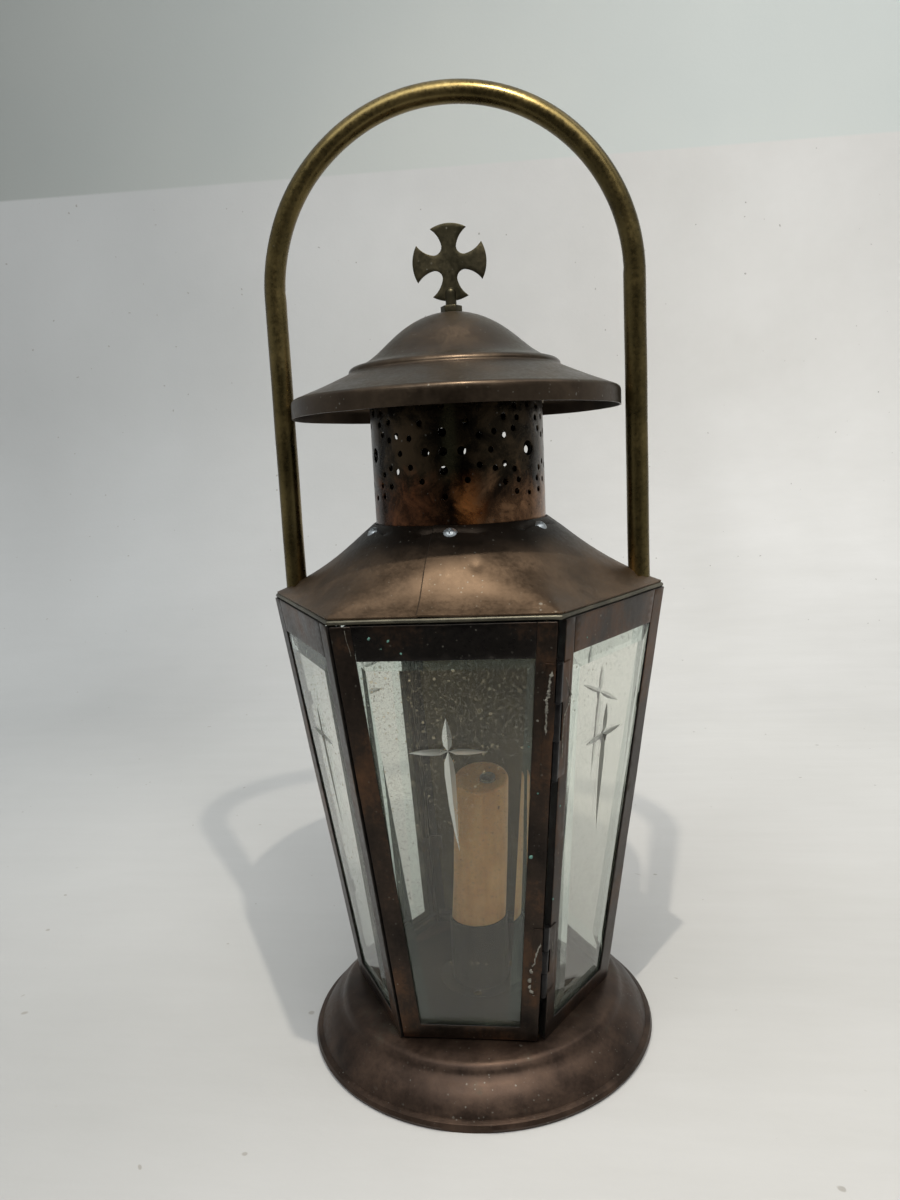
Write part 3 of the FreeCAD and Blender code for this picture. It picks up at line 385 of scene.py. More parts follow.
def backdrop_paper():
    """Pale paper with painted light: cooler and darker at the left, brighter towards the back and the right,
    near-black in painted shade beyond its near edge; a greenish wall above it, painted brighter to the right.
    """
    material, graph = new_graph("backdrop_paper")
    x, y, z = graph.split()
    cloud = graph.noise(3.0, 4.0, 0.6)
    streaks = graph.noise(1.0, 5.0, 0.7, graph.stretched(6.0, 40.0, 6.0))
    colour = graph.ramp(graph.sum(graph.times(cloud, 0.6), graph.times(streaks, 0.4)),
                        (0.3, (0.60, 0.585, 0.555)), (0.7, (0.67, 0.655, 0.63)))
    # Painted shade: cooler and darker towards the left.
    left = graph.fit(graph.sum(x, graph.times(cloud, 0.3)), -0.55, 0.35, 1.0, 0.0)
    colour = graph.blend(graph.times(left, 0.55), colour, (0.44, 0.465, 0.475))
    folds = graph.fit(graph.noise(2.0, 2.0, 0.4, graph.stretched(1.0, 1.0, 0.5)), 0.35, 0.65, 0.93, 1.04)
    colour = graph.shaded(colour, folds)
    # Painted light: brighter towards the back and the right.
    painted_light_falloff = graph.times(graph.fit(y, -0.25, 1.1, 0.84, 1.30), graph.fit(x, -0.45, 0.45, 0.92, 1.07))
    colour = graph.shaded(colour, painted_light_falloff)
    crumbs = graph.sum(graph.specks(60.0, 0.12, 0.9), graph.specks(22.0, 0.05, 0.9), "MAXIMUM")
    colour = graph.blend(graph.times(crumbs, 0.6), colour, (0.30, 0.27, 0.23))
    top = graph.fit(graph.sum(z, graph.times(x, 0.012)), 0.838, 0.842)
    wall = graph.ramp(graph.noise(1.5, 3.0, 0.5), (0.3, (0.60, 0.635, 0.61)), (0.7, (0.68, 0.70, 0.66)))
    # The greenish wall above the paper, with painted light brighter to the right.
    colour = graph.blend(top, colour, graph.shaded(wall, graph.fit(x, -0.95, 0.35, 0.70, 1.25)))
    # Painted shade: near-black beyond the paper's near edge, for the dim room in front of the lantern.
    near = graph.fit(y, -0.62, -0.40, 1.0, 0.0)
    colour = graph.blend(near, colour, (0.06, 0.055, 0.05))
    graph.coat(colour, 0.85, graph.bump(graph.noise(160.0, 4.0, 0.6), 0.0006, 0.3))
    return material


materials = {
    # The foot's sheet, with painted shade on its floor inside the body.
    "foot": patina("foot_copper", (0.024, 0.0155, 0.011), (0.056, 0.036, 0.026),
                   (0.100, 0.064, 0.045), (0.36, 0.52), 0.88, 0.0, 0.35, 0.35, soot_and_shade=(0.056, 0.063, 0.88)),
    # The roof's sheet, with painted shade under the cap near the collar.
    "roof": patina("roof_copper", (0.075, 0.050, 0.031), (0.115, 0.077, 0.049),
                   (0.16, 0.108, 0.069), (0.40, 0.54), 0.9, 0.04, 0.5, soot_and_shade=(0.063, 0.079, 0.93)),
    "cap": patina("cap_copper", (0.042, 0.029, 0.019), (0.062, 0.044, 0.029),
                  (0.092, 0.065, 0.043), (0.30, 0.44), 0.9, 0.0, 0.4),
    "chimney": chimney_copper_with_painted_light(),
    "band": patina("band_copper", (0.008, 0.0075, 0.0075), (0.020, 0.017, 0.015),
                   (0.075, 0.042, 0.025), (0.26, 0.40), 0.88, 0.05, 0.3, blotch=22.0),
    "cup": rough_metal("cup_metal", (0.006, 0.005, 0.004), (0.024, 0.019, 0.014), (0.45, 0.65), 0.7, 120.0),
    "panel": patina("panel_copper", (0.012, 0.0095, 0.008), (0.035, 0.025, 0.019),
                    (0.11, 0.057, 0.031), (0.28, 0.44), 0.88, 0.07, 0.3, blotch=32.0),
    "eave": patina("eave_bead", (0.045, 0.042, 0.032), (0.10, 0.092, 0.068),
                   (0.19, 0.175, 0.13), (0.36, 0.55), 0.85, 0.0, 0.5, 0.8),
    "sheet": patina("back_sheet", (0.055, 0.043, 0.018), (0.100, 0.079, 0.034),
                    (0.15, 0.119, 0.053), (0.45, 0.65), 0.5, 0.2, 0.3),
    "brass": patina("aged_brass", (0.062, 0.046, 0.018), (0.110, 0.082, 0.031),
                    (0.19, 0.142, 0.056), (0.24, 0.36), 0.95, 0.08, 0.12, 0.0, blotch=30.0),
    "cross": patina("cross_brass", (0.030, 0.027, 0.015), (0.050, 0.043, 0.025),
                    (0.085, 0.070, 0.040), (0.34, 0.48), 0.9, 0.0, 0.3, 0.3),
    # Painted shade: a near-black finish for faces in the gaps between panels and inside the lantern.
    "crevice_shade": rough_metal("crevice_shade", (0.006, 0.005, 0.004), (0.02, 0.015, 0.012), (0.5, 0.7), 0.4, 200.0),
    "hinge": rough_metal("hinge_metal", (0.004, 0.004, 0.0045), (0.014, 0.013, 0.013),
                         (0.26, 0.42), 0.7, 260.0, 0.0001),
    "zinc": rough_metal("zinc_plate", (0.38, 0.41, 0.42), (0.62, 0.66, 0.68), (0.34, 0.5), 0.85, 400.0, 0.0001),
    "solder": rough_metal("solder", (0.08, 0.075, 0.062), (0.40, 0.38, 0.32), (0.45, 0.7), 0.5, 900.0, 0.0004),
    "verdigris": rough_metal("verdigris", (0.04, 0.12, 0.10), (0.16, 0.33, 0.27), (0.8, 0.95), 0.0,
                             900.0, 0.0005),
    "lining": rough_metal("tube_lining", (0.30, 0.29, 0.25), (0.58, 0.56, 0.50), (0.35, 0.6), 0.8, 500.0),
    "glass": clear_glass("pane_glass", (0.955, 0.965, 0.92), 0.030, (0.56, 0.49, 0.33)),
    "bevel": clear_glass("bevel_glass", (0.84, 0.93, 0.88), 0.12, (0.40, 0.46, 0.37)),
    "cut": cut_glass(),
    "wick": fibre(),
}


# Mesh tools

def warped(point, amount=0.00022, scale=24.0):
    """The hand made sheets wander a little; pieces that touch wander together."""
    return point + noise.noise_vector(point * scale) * amount


def held_in(point):
    """Nothing leaves the box of the solid model."""
    return Vector([min(max(value, low), high) for value, low, high in zip(point, cad_low, cad_high)])


def add_object(name, mesh, material, body, slot, *replaced):
    """A finished piece: shaded, riding on its body, in place of its node."""
    mesh.materials.clear()
    for item in material if isinstance(material, list) else [material]:
        mesh.materials.append(materials[item])
    piece = bpy.data.objects.new(name, mesh)
    bpy.context.scene.collection.objects.link(piece)
    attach(piece, body)
    if replaced:
        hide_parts(*replaced)
    return piece


def mesh_from(name, points, faces, angle=None):
    mesh = bpy.data.meshes.new(name)
    mesh.from_pydata([tuple(held_in(point)) for point in points], [], faces)
    mesh.validate()
    smooth(mesh, angle)
    return mesh


def smooth(mesh, angle=None):
    mesh.polygons.foreach_set("use_smooth", [True] * len(mesh.polygons))
    if angle is not None:
        mesh.set_sharp_from_angle(angle=math.radians(angle))
    mesh.update()


def with_modifiers(mesh, *settings):
    """A mesh after some modifiers, each given as a type and its settings."""
    holder = bpy.data.objects.new("holder", mesh)
    bpy.context.scene.collection.objects.link(holder)
    for kind, values in settings:
        modifier = holder.modifiers.new(kind, kind)
        for key, value in values.items():
            setattr(modifier, key, value)
    graph = bpy.context.evaluated_depsgraph_get()
    result = bpy.data.meshes.new_from_object(holder.evaluated_get(graph))
    bpy.data.objects.remove(holder)
    return result


def clean_copy(node):
    """A node's mesh with its split points joined and its flat faces whole again."""
    shape = bmesh.new()
    shape.from_mesh(nodes[node].data)
    bmesh.ops.remove_doubles(shape, verts=shape.verts, dist=1e-6)
    bmesh.ops.dissolve_limit(shape, angle_limit=math.radians(0.4), verts=shape.verts, edges=shape.edges)
    mesh = bpy.data.meshes.new(node)
    shape.to_mesh(mesh)
    shape.free()
    return mesh


def refined(node, material, body, slot, bevel=0.0003, cell=0.006, wander=0.00022, choose=None):
    """A sheet metal node with soft edges and a slightly wandering surface; choose picks a face's finish."""
    mesh = clean_copy(node)
    if bevel:
        mesh = with_modifiers(mesh, ("BEVEL", {"width": bevel, "segments": 2, "limit_method": "ANGLE",
                                               "angle_limit": math.radians(35)}))
    shape = bmesh.new()
    shape.from_mesh(mesh)
    bmesh.ops.triangulate(shape, faces=shape.faces)
    for _ in range(7):
        long_edges = [edge for edge in shape.edges if edge.calc_length() > cell]
        if not long_edges:
            break
        bmesh.ops.subdivide_edges(shape, edges=long_edges, cuts=1)
        bmesh.ops.triangulate(shape, faces=[face for face in shape.faces if len(face.verts) > 3])
    for vertex in shape.verts:
        vertex.co = held_in(warped(vertex.co, wander))
    shape.to_mesh(mesh)
    shape.free()
    smooth(mesh, 48)
    piece = add_object(node + "_sheet", mesh, material, body, slot, node)
    if choose:
        for polygon in mesh.polygons:
            polygon.material_index = choose(polygon)
    return piece


def edges_dark(angle):
    """A choice of finish: the second one, a painted shade, on faces that look away from the panel's front."""
    outward = around(angle, math.cos(tilt), -math.sin(tilt))
    return lambda polygon: 0 if polygon.normal.dot(outward) > 0.5 else 1


def barrels_black(polygon):
    """A choice of finish: the second one on the knuckles round the line of the hinge."""
    foot = around(30, corner_radius_bottom - 0.001, foot_height)
    way = (around(30, corner_radius_top - 0.001, body_top) - foot).normalized()
    off = polygon.center - foot
    return 1 if (off - way * off.dot(way)).length < barrel_radius + 0.0003 else 0


def arc_points(first, middle, last, count):
    """Points on the arc through three points of a profile, without the first."""
    ax, ay = first
    bx, by = middle
    cx, cy = last
    twice = 2 * (ax * (by - cy) + bx * (cy - ay) + cx * (ay - by))
    ux = ((ax**2 + ay**2) * (by - cy) + (bx**2 + by**2) * (cy - ay) + (cx**2 + cy**2) * (ay - by)) / twice
    uy = ((ax**2 + ay**2) * (cx - bx) + (bx**2 + by**2) * (ax - cx) + (cx**2 + cy**2) * (bx - ax)) / twice
    radius = math.hypot(ax - ux, ay - uy)
    start = math.atan2(ay - uy, ax - ux)
    halfway = (math.atan2(by - uy, bx - ux) - start) % (2 * math.pi)
    sweep = (math.atan2(cy - uy, cx - ux) - start) % (2 * math.pi)
    if halfway > sweep:
        sweep -= 2 * math.pi
    turns = [start + sweep * i / count for i in range(1, count + 1)]
    return [(ux + radius * math.cos(turn), uy + radius * math.sin(turn)) for turn in turns]


def profile(start, *steps, cell=0.0015):
    """Points of a profile: a step of one point is straight, one of two is an arc."""
    points = [start]
    for step in steps:
        last = points[-1]
        length = sum(math.dist(a, b) for a, b in zip((last,) + step[:-1], step))
        count = max(2, round(length / cell))
        if len(step) == 1:
            end = step[0]
            points += [(last[0] + (end[0] - last[0]) * i / count, last[1] + (end[1] - last[1]) * i / count)
                       for i in range(1, count + 1)]
        else:
            points += arc_points(last, step[0], step[1], count)
    return points


def flowing(marks, count):
    """A smooth curve through the marks, without the first of them."""
    points = []
    for index in range(len(marks) - 1):
        a, b, c, d = (Vector(marks[min(max(index + step, 0), len(marks) - 1)]) for step in (-1, 0, 1, 2))
        for step in range(1, count + 1):
            t = step / count
            place = 0.5 * (2 * b + (c - a) * t + (2 * a - 5 * b + 4 * c - d) * t * t
                           + (3 * b - a - 3 * c + d) * t ** 3)
            points.append((place.x, place.y))
    return points


def grid_faces(rows, columns, closed=True):
    """Faces between rows of points; closed joins the last column to the first."""
    faces = []
    for row in range(rows - 1):
        for column in range(columns if closed else columns - 1):
            after = (column + 1) % columns
            faces.append((row * columns + column, row * columns + after,
                          (row + 1) * columns + after, (row + 1) * columns + column))
    return faces


def spun(points, push, count=320):
    """A surface of revolution; push moves each point by hand."""
    places = []
    for radius, height in points:
        places += [push(around(360 * index / count, radius, height)) for index in range(count)]
    return places, grid_faces(len(points), count)


def shell(name, points, faces, thickness, angle=40):
    """A thin sheet with its thickness added on the inside."""
    mesh = mesh_from(name, points, faces)
    mesh = with_modifiers(mesh, ("SOLIDIFY", {"thickness": thickness, "offset": -1.0,
                                              "use_even_offset": True}))
    for vertex in mesh.vertices:
        vertex.co = held_in(vertex.co)
    smooth(mesh, angle)
    return mesh


# The foot

def make_foot():
    """Spun dish: flat top, soft ridge, cove, swelling skirt and a bead round the rim."""
    marks = [(0.0675, 0.0), (0.074, -0.0006), (0.0790, -0.0017), (0.0818, -0.0027), (0.0834, -0.0044),
             (0.0849, -0.0068), (0.0868, -0.0088), (0.0893, -0.0108), (0.0921, -0.0135), (0.0948, -0.0169),
             (0.0968, -0.0201), (0.0979, -0.0222)]
    line = profile((0.0004, foot_height), ((0.0675, foot_height),))
    line += flowing([(radius, foot_height + drop) for radius, drop in marks], 6)
    line += profile(line[-1], ((0.0991, 0.0046),), ((foot_radius, 0.0023), (0.0991, 0.0)), ((0.0966, 0.0),),
                    ((0.0966, 0.0046),))[1:]

    def push(place):
        moved = warped(place, 0.0003, 19.0)
        if place.z < 0.006:
            moved.z = place.z
        return moved
    places, faces = spun(line, push)
    mesh = shell("foot", places, faces, foot_wall * 0.6)
    return add_object("foot_dish", mesh, "foot", "lantern", "foot_copper", "foot")


# The roof

def make_roof():
    """One sheet from the hexagon of the eave to the collar, lapped and a little dented; gives its solid's surface."""
    solid = nodes["roof"]
    tree = BVHTree.FromPolygons([vertex.co for vertex in solid.data.vertices],
                                [polygon.vertices for polygon in solid.data.polygons])
    columns = 720
    rows = 64
    seam_top = -10.2
    seam_bottom = -7.4
    lap = 0.0005
    dents = (((0.0143, -0.0696), 0.0032, 0.0008), ((0.036, -0.066), 0.011, 0.0006),
             ((-0.047, -0.058), 0.013, 0.0006), ((0.06, 0.05), 0.012, 0.0007))
    apothem = apothem_top - eave_setback
    corner = (apothem - eave_rounding) / math.cos(half_angle)

    def eave_reach(angle):
        off_face = (angle + 30) % 60 - 30
        off_corner = math.radians(30 - abs(off_face))
        reach = apothem / math.cos(math.radians(off_face))
        aside = corner * math.sin(off_corner)
        if aside < eave_rounding:
            reach = min(reach, corner * math.cos(off_corner) + math.sqrt(eave_rounding**2 - aside**2))
        return reach

    def softened(angle, share):
        """The reach of the eave, with its corners fading out towards the collar."""
        spread = 16 * (1 - share)
        return sum(eave_reach(angle + spread * step / 4) for step in range(-4, 5)) / 9

    seam_column = -9.0

    def turned(column, share):
        """The angle of a column, leaning with the seam near it."""
        angle = 360 * column / columns
        off = abs((angle - seam_column + 180) % 360 - 180)
        return angle + (seam_top + (seam_bottom - seam_top) * share - seam_column) * max(0.0, 1 - off / 22)

    heights = []
    for row in range(rows + 1):
        share = row / rows
        for column in range(columns):
            angle = turned(column, share)
            radius = collar_radius + 0.00005 + (softened(angle, share) - collar_radius - 0.0001) * share
            place = around(angle, radius, roof_top + 0.02)
            hit = tree.ray_cast(place, Vector((0, 0, -1)))[0]
            heights.append(Vector((place.x, place.y, hit.z if hit else eave_top)))
    smoothed = [place.z for place in heights]
    for _ in range(3):
        before = smoothed
        smoothed = []
        for row in range(rows + 1):
            reach = round(4 + 12 * (1 - row / rows))
            for column in range(columns):
                near = [before[row * columns + (column + step) % columns]
                        for step in range(-reach, reach + 1)]
                smoothed.append(sum(near) / len(near))
    places = []
    for index, place in enumerate(heights):
        share = index // columns / rows
        past = (360 * (index % columns) / columns - seam_column + 180) % 360 - 180
        height = smoothed[index]
        if past > 0.1:
            height += lap * max(0.0, 1 - past / 14.0)
        for (x, y), reach, depth in dents:
            away = math.hypot(place.x - x, place.y - y) / reach
            height -= depth * math.exp(-away * away)
        fade = min(1.0, share * 6, (1 - share) * 9)
        soft = noise.noise(place * 30) * 0.0005 + noise.noise(place * 75) * 0.00012
        places.append(Vector((place.x, place.y, height + soft * fade)))
    mesh = shell("roof", places, grid_faces(rows + 1, columns), roof_thickness * 0.9, 24)
    add_object("roof_sheet", mesh, "roof", "lantern", "roof_copper", "roof")
    return tree


# The chimney

pattern_turn = -2.7
pattern_rise = 0.0384
cross_pitch = 0.0096
cross_hole = 0.00225
star_hole = 0.004
small_hole = 0.00165
end_hole_rise = 0.023
beside_cross = ((14.5, 0.0148), (14.5, -0.0148), (22.3, 0.0074), (22.3, -0.0074), (30.0, 0.0),
                (32.5, 0.0092), (32.5, -0.0094))
beside_star = ((10.0, 0.016), (13.3, 0.0104), (11.8, 0.022), (20.6, 0.0168), (20.7, 0.0072))


def pattern_holes():
    """Hole places: angle, rise and radius, in three groups of a cross and a star."""
    step = math.degrees(cross_pitch / chimney_radius)
    holes = []
    for middle in (0, 120, 240):
        star = middle + 60
        holes += [(middle, rise, cross_hole) for rise in (-cross_pitch, 0.0, cross_pitch)]
        holes.append((star, 0.0, star_hole))
        for sign in (-1, 1):
            holes += [(middle + sign * step, 0.0, cross_hole), (middle, sign * end_hole_rise, small_hole),
                      (star, sign * end_hole_rise, small_hole)]
            holes += [(middle + sign * angle, rise, small_hole) for angle, rise in beside_cross]
            for angle, rise in beside_star:
                holes += [(star + sign * angle, rise, small_hole), (star + sign * angle, -rise, small_hole)]
    return holes


def make_chimney():
    """A pierced tube, rolled from a flat pattern whose holes are cut first."""
    start_angle = 153.2
    round_length = 2 * math.pi * chimney_radius
    foot_slope = math.atan(collar_slope)
    base = roof_top - 0.002
    tall = chimney_top - base
    flange = flange_width / math.cos(foot_slope)
    columns = 168
    cell = 0.0019
    heights = [-flange + flange * i / 4 for i in range(4)]
    heights += [tall * i / round(tall / cell) for i in range(round(tall / cell) + 1)]
    circles = []
    for angle, rise, radius in pattern_holes():
        across = (angle + pattern_turn - start_angle) % 360 / 360 * round_length
        circles.append((across, roof_top + pattern_rise + rise - base, radius))
    points = []
    for row in heights:
        for column in range(columns + 1):
            across = round_length * column / columns
            near = any(math.hypot(across - x, row - y) < radius + 0.0005 for x, y, radius in circles)
            if not near or column in (0, columns):
                points.append(Vector((across, row)))
    edges = []
    for x, y, radius in circles:
        first = len(points)
        sides = 28 if radius < star_hole else 44
        for index in range(sides):
            turn = 2 * math.pi * index / sides
            points.append(Vector((x + radius * math.cos(turn), y + radius * math.sin(turn))))
            edges.append((first + index, first + (index + 1) % sides))
    flat, _, triangles = delaunay_2d_cdt(points, edges, [], 0, 1e-7)[:3]
    kept = []
    for triangle in triangles:
        middle = sum((flat[index] for index in triangle), Vector((0, 0))) / 3
        if not any(math.hypot(middle.x - x, middle.y - y) < radius - 1e-6 for x, y, radius in circles):
            kept.append(tuple(triangle))

    def rolled(point):
        angle = start_angle + 360 * point.x / round_length
        if point.y >= 0:
            radius = chimney_radius
            height = base + point.y
        else:
            radius = chimney_radius - point.y * math.cos(foot_slope)
            height = base + point.y * math.sin(foot_slope)
        for x, y, hole in circles:
            away = math.hypot(point.x - x, point.y - y) - hole
            if away < 0.0008:
                radius -= 0.00016 * (1 - max(away, 0.0) / 0.0008)
        place = around(angle, radius, height)
        ease = min(1.0, max(0.0, point.y / 0.01), max(0.0, (tall - point.y) / 0.01))
        return place + place.normalized() * 0.0002 * noise.noise(place * 28) * ease
    places = [rolled(point) for point in flat]
    shape = bmesh.new()
    corners = [shape.verts.new(place) for place in places]
    for triangle in kept:
        shape.faces.new([corners[index] for index in triangle])
    loose = [vertex for vertex in shape.verts if not vertex.link_faces]
    bmesh.ops.delete(shape, geom=loose, context="VERTS")
    bmesh.ops.remove_doubles(shape, verts=shape.verts, dist=1e-6)
    bmesh.ops.recalc_face_normals(shape, faces=shape.faces)
    mesh = bpy.data.meshes.new("chimney")
    shape.to_mesh(mesh)
    shape.free()
    smooth(mesh)
    mesh = with_modifiers(mesh, ("SOLIDIFY", {"thickness": chimney_wall, "offset": -1.0}))
    smooth(mesh, 50)
    return add_object("chimney_tube", mesh, "chimney", "lantern", "chimney_copper", "chimney")


# The smoke cap

def make_cap():
    """Spun bell with a step, a flared brim and a lip turned down."""
    hole = 0.0031
    dome = [(hole, 0.0533), (0.0070, 0.0530), (0.0119, 0.0520), (0.0182, 0.0498), (0.0244, 0.0466),
            (0.0300, 0.0428), (0.0351, 0.0386), (0.0396, 0.0346), (0.0441, 0.0309), (0.0493, 0.0276),
            (0.0540, 0.0260)]
    step = [(0.0540, 0.0260), (0.0561, 0.0254), (0.0574, 0.0243), (0.0578, 0.0228), (0.0590, 0.0216)]
    brim = [(0.0590, 0.0216), (0.0641, 0.0193), (0.0750, 0.0146), (0.0830, 0.0115), (0.0868, 0.0100)]
    edge = [(0.0868, 0.0100), (0.0886, 0.0093), (0.0895, 0.0085), (cap_radius, 0.0072)]

    def raised(marks):
        return [(radius, lip_bottom + rise) for radius, rise in marks]
    line = raised(dome[:1]) + flowing(raised(dome), 5) + flowing(raised(step), 4) + flowing(raised(brim), 7)
    line += flowing(raised(edge), 4)
    line += profile(line[-1], ((cap_radius, lip_bottom),))[1:]

    def push(place):
        ease = min(1.0, math.hypot(place.x, place.y) / 0.02)
        return place + noise.noise_vector(place * 21) * 0.0003 * ease
    places, faces = spun(line, push)
    mesh = shell("smoke_cap", places, faces, cap_wall)
    return add_object("smoke_cap_bell", mesh, "cap", "lantern", "roof_copper", "smoke_cap")


# The handle

def make_handle(roof_tree):
    """Bent tube, a little flattened on the inside of its bend."""
    sides = 40
    path = []
    for step in range(31):
        path.append((Vector((-handle_radius, 0, eave_top + 0.0005 + (leg_top - eave_top) * step / 30)),
                     Vector((-1, 0, 0))))
    for step in range(1, 100):
        turn = math.pi * step / 100
        out = Vector((-math.cos(turn), 0, math.sin(turn)))
        path.append((Vector((0, 0, leg_top)) + out * handle_radius, out))
    for place, out in reversed(path[:31]):
        path.append((Vector((-place.x, place.y, place.z)), Vector((1, 0, 0))))
    places = []
    for index, (centre, out) in enumerate(path):
        bend = 30 < index < len(path) - 31
        for side in range(sides):
            turn = 2 * math.pi * side / sides
            along_out = math.cos(turn) * tube_radius
            if bend and along_out < 0:
                along_out *= 0.95
            place = centre + out * along_out + Vector((0, 1, 0)) * math.sin(turn) * tube_radius
            places.append(place + noise.noise_vector(place * 26) * 0.00018)
    for end in (0, len(path) - 1):
        for side in range(sides):
            place = places[end * sides + side]
            hit = roof_tree.ray_cast(Vector((place.x, place.y, roof_top)), Vector((0, 0, -1)))[0]
            if hit is not None:
                place.z = hit.z + 0.0001
    for end, inner in ((0, range(1, 8)), (len(path) - 1, range(len(path) - 2, len(path) - 9, -1))):
        for ring in inner:
            for side in range(sides):
                low = places[end * sides + side].z
                place = places[ring * sides + side]
                steps = abs(ring - end)
                place.z = max(place.z, low + 0.0003 * steps)
    mesh = mesh_from("handle", places, grid_faces(len(path), sides))
    shape = bmesh.new()
    shape.from_mesh(mesh)
    bmesh.ops.recalc_face_normals(shape, faces=shape.faces)
    shape.to_mesh(mesh)
    shape.free()
    smooth(mesh)
    return add_object("handle_tube", mesh, "brass", "lantern", "aged_brass", "handle")


# Panes

def lens(reach, widest, at, pinch):
    """One cut of the cross: distances from the middle and the half width at each."""
    return [(at * 0.45, pinch + (widest - pinch) * 0.72), (at, widest),
            (at + (reach - at) * 0.4, widest * 0.78), (at + (reach - at) * 0.75, widest * 0.36)]


def make_pane(node, body, angle, bevel, bevel_depth, cross_lower):
    """A bevelled pane with a cut cross of four hollow strokes; each kind of facet has its own finish."""
    side = around(angle + 90)
    outward = around(angle, math.cos(tilt), -math.sin(tilt))
    upward = around(angle, math.sin(tilt), math.cos(tilt))
    base = on_panel(angle, 0, 0)
    local = [(vertex.co - base) for vertex in nodes[node].data.vertices]
    local = [(place.dot(side), place.dot(upward), place.dot(outward)) for place in local]
    low = min(place[1] for place in local)
    high = max(place[1] for place in local)
    face = max(place[2] for place in local)
    bottom = [place[0] for place in local if place[1] < low + 0.0005]
    top = [place[0] for place in local if place[1] > high - 0.0005]
    corners = [Vector((min(bottom), low)), Vector((max(bottom), low)), Vector((max(top), high)),
               Vector((min(top), high))]
    lean = (max(top) - max(bottom)) / (high - low)
    inset = bevel * math.hypot(1, lean)
    drift = bevel * lean
    steps_in = ((inset + drift, bevel), (-inset - drift, bevel), (-inset + drift, -bevel), (inset - drift, -bevel))
    inner = [corner + Vector(step) for corner, step in zip(corners, steps_in)]
    centre = Vector((-0.0016, cross_rise - cross_lower))
    pinch = 0.0011
    tip_bend = 0.0011
    long_stroke = 0.05
    deepening = 0.42
    strokes = ((Vector((0, 1)), 0.0178, 0.0024, 0.0075), (Vector((0.026, -1)), 0.0556, 0.0027, 0.0125),
               (Vector((-1, -0.03)), 0.0196, 0.0018, 0.0080), (Vector((1, 0.0)), 0.0200, 0.0016, 0.0085))
    points = corners + inner
    depths = [bevel_depth] * 4 + [0.0] * 4
    edges = [(i, (i + 1) % 4) for i in range(4)] + [(4 + i, 4 + (i + 1) % 4) for i in range(4)]
    edges += [(i, 4 + i) for i in range(4)]
    outlines = []
    middle = len(points)
    points.append(centre)
    depths.append(0.0007)
    for way, reach, widest, at in strokes:
        way = way.normalized()
        across = Vector((-way.y, way.x))
        left = []
        right = []
        spine = [middle]
        for distance, wide in lens(reach, widest, at, pinch):
            bend = tip_bend * (distance / reach) ** 4 if reach > long_stroke else 0.0
            place = centre + way * distance + across * bend
            spine.append(len(points))
            points.append(place)
            depths.append(wide * deepening)
            left.append(len(points))
            points.append(place + across * wide)
            depths.append(0.0)
            right.append(len(points))
            points.append(place - across * wide)
            depths.append(0.0)
        tip = len(points)
        points.append(centre + way * reach + across * (tip_bend if reach > long_stroke else 0.0))
        depths.append(0.0)
        edges += list(zip(spine, spine[1:] + [tip]))
        edges += list(zip(left, left[1:] + [tip])) + list(zip(right, right[1:] + [tip]))
        edges += [(middle, left[0]), (middle, right[0])]
        outlines.append([points[middle]] + [points[i] for i in left] + [points[tip]]
                        + [points[i] for i in reversed(right)])
    flat, _, triangles, sources = delaunay_2d_cdt(points, edges, [], 0, 1e-8)[:4]
    count = len(flat)
    lows = []
    for index in range(count):
        source = sources[index]
        lows.append(depths[source[0]] if source else 0.0)
    places = [base + side * p.x + upward * p.y + outward * (face - low_by) for p, low_by in zip(flat, lows)]
    faces = [tuple(triangle) for triangle in triangles]
    kinds = []
    for triangle in triangles:
        place = sum((flat[index] for index in triangle), Vector((0, 0))) / 3
        if any(inside(place, outline) for outline in outlines):
            kinds.append(2)
        else:
            kinds.append(0 if inside(place, inner) else 1)
    back = [base + side * p.x + upward * p.y + outward * (face - glass_thickness) for p in corners]
    outer = [min(range(count), key=lambda i, p=p: (flat[i] - p).length) for p in corners]
    first = len(places)
    places += back
    faces.append((first, first + 1, first + 2, first + 3))
    kinds.append(0)
    for index in range(4):
        after = (index + 1) % 4
        faces.append((outer[index], outer[after], first + after, first + index))
        kinds.append(1)
    mesh = bpy.data.meshes.new(node)
    mesh.from_pydata([tuple(place) for place in places], [], faces)
    shape = bmesh.new()
    shape.from_mesh(mesh)
    layer = shape.faces.layers.int.new("kind")
    shape.faces.ensure_lookup_table()
    for index, kind in enumerate(kinds):
        shape.faces[index][layer] = kind
    bmesh.ops.recalc_face_normals(shape, faces=shape.faces)
    chosen = [shape_face[layer] for shape_face in shape.faces]
    shape.to_mesh(mesh)
    shape.free()
    piece = add_object(node + "_pane", mesh, ["glass", "bevel", "cut"], body, "bevelled_glass", node)
    for polygon, kind in zip(mesh.polygons, chosen):
        polygon.material_index = kind
    return piece


def inside(place, outline):
    """Whether a flat point lies inside an outline."""
    result = False
    for a, b in zip(outline, outline[1:] + outline[:1]):
        if (a.y > place.y) != (b.y > place.y):
            if place.x < (b.x - a.x) * (place.y - a.y) / (b.y - a.y) + a.x:
                result = not result
    return result


# Solder and crusts

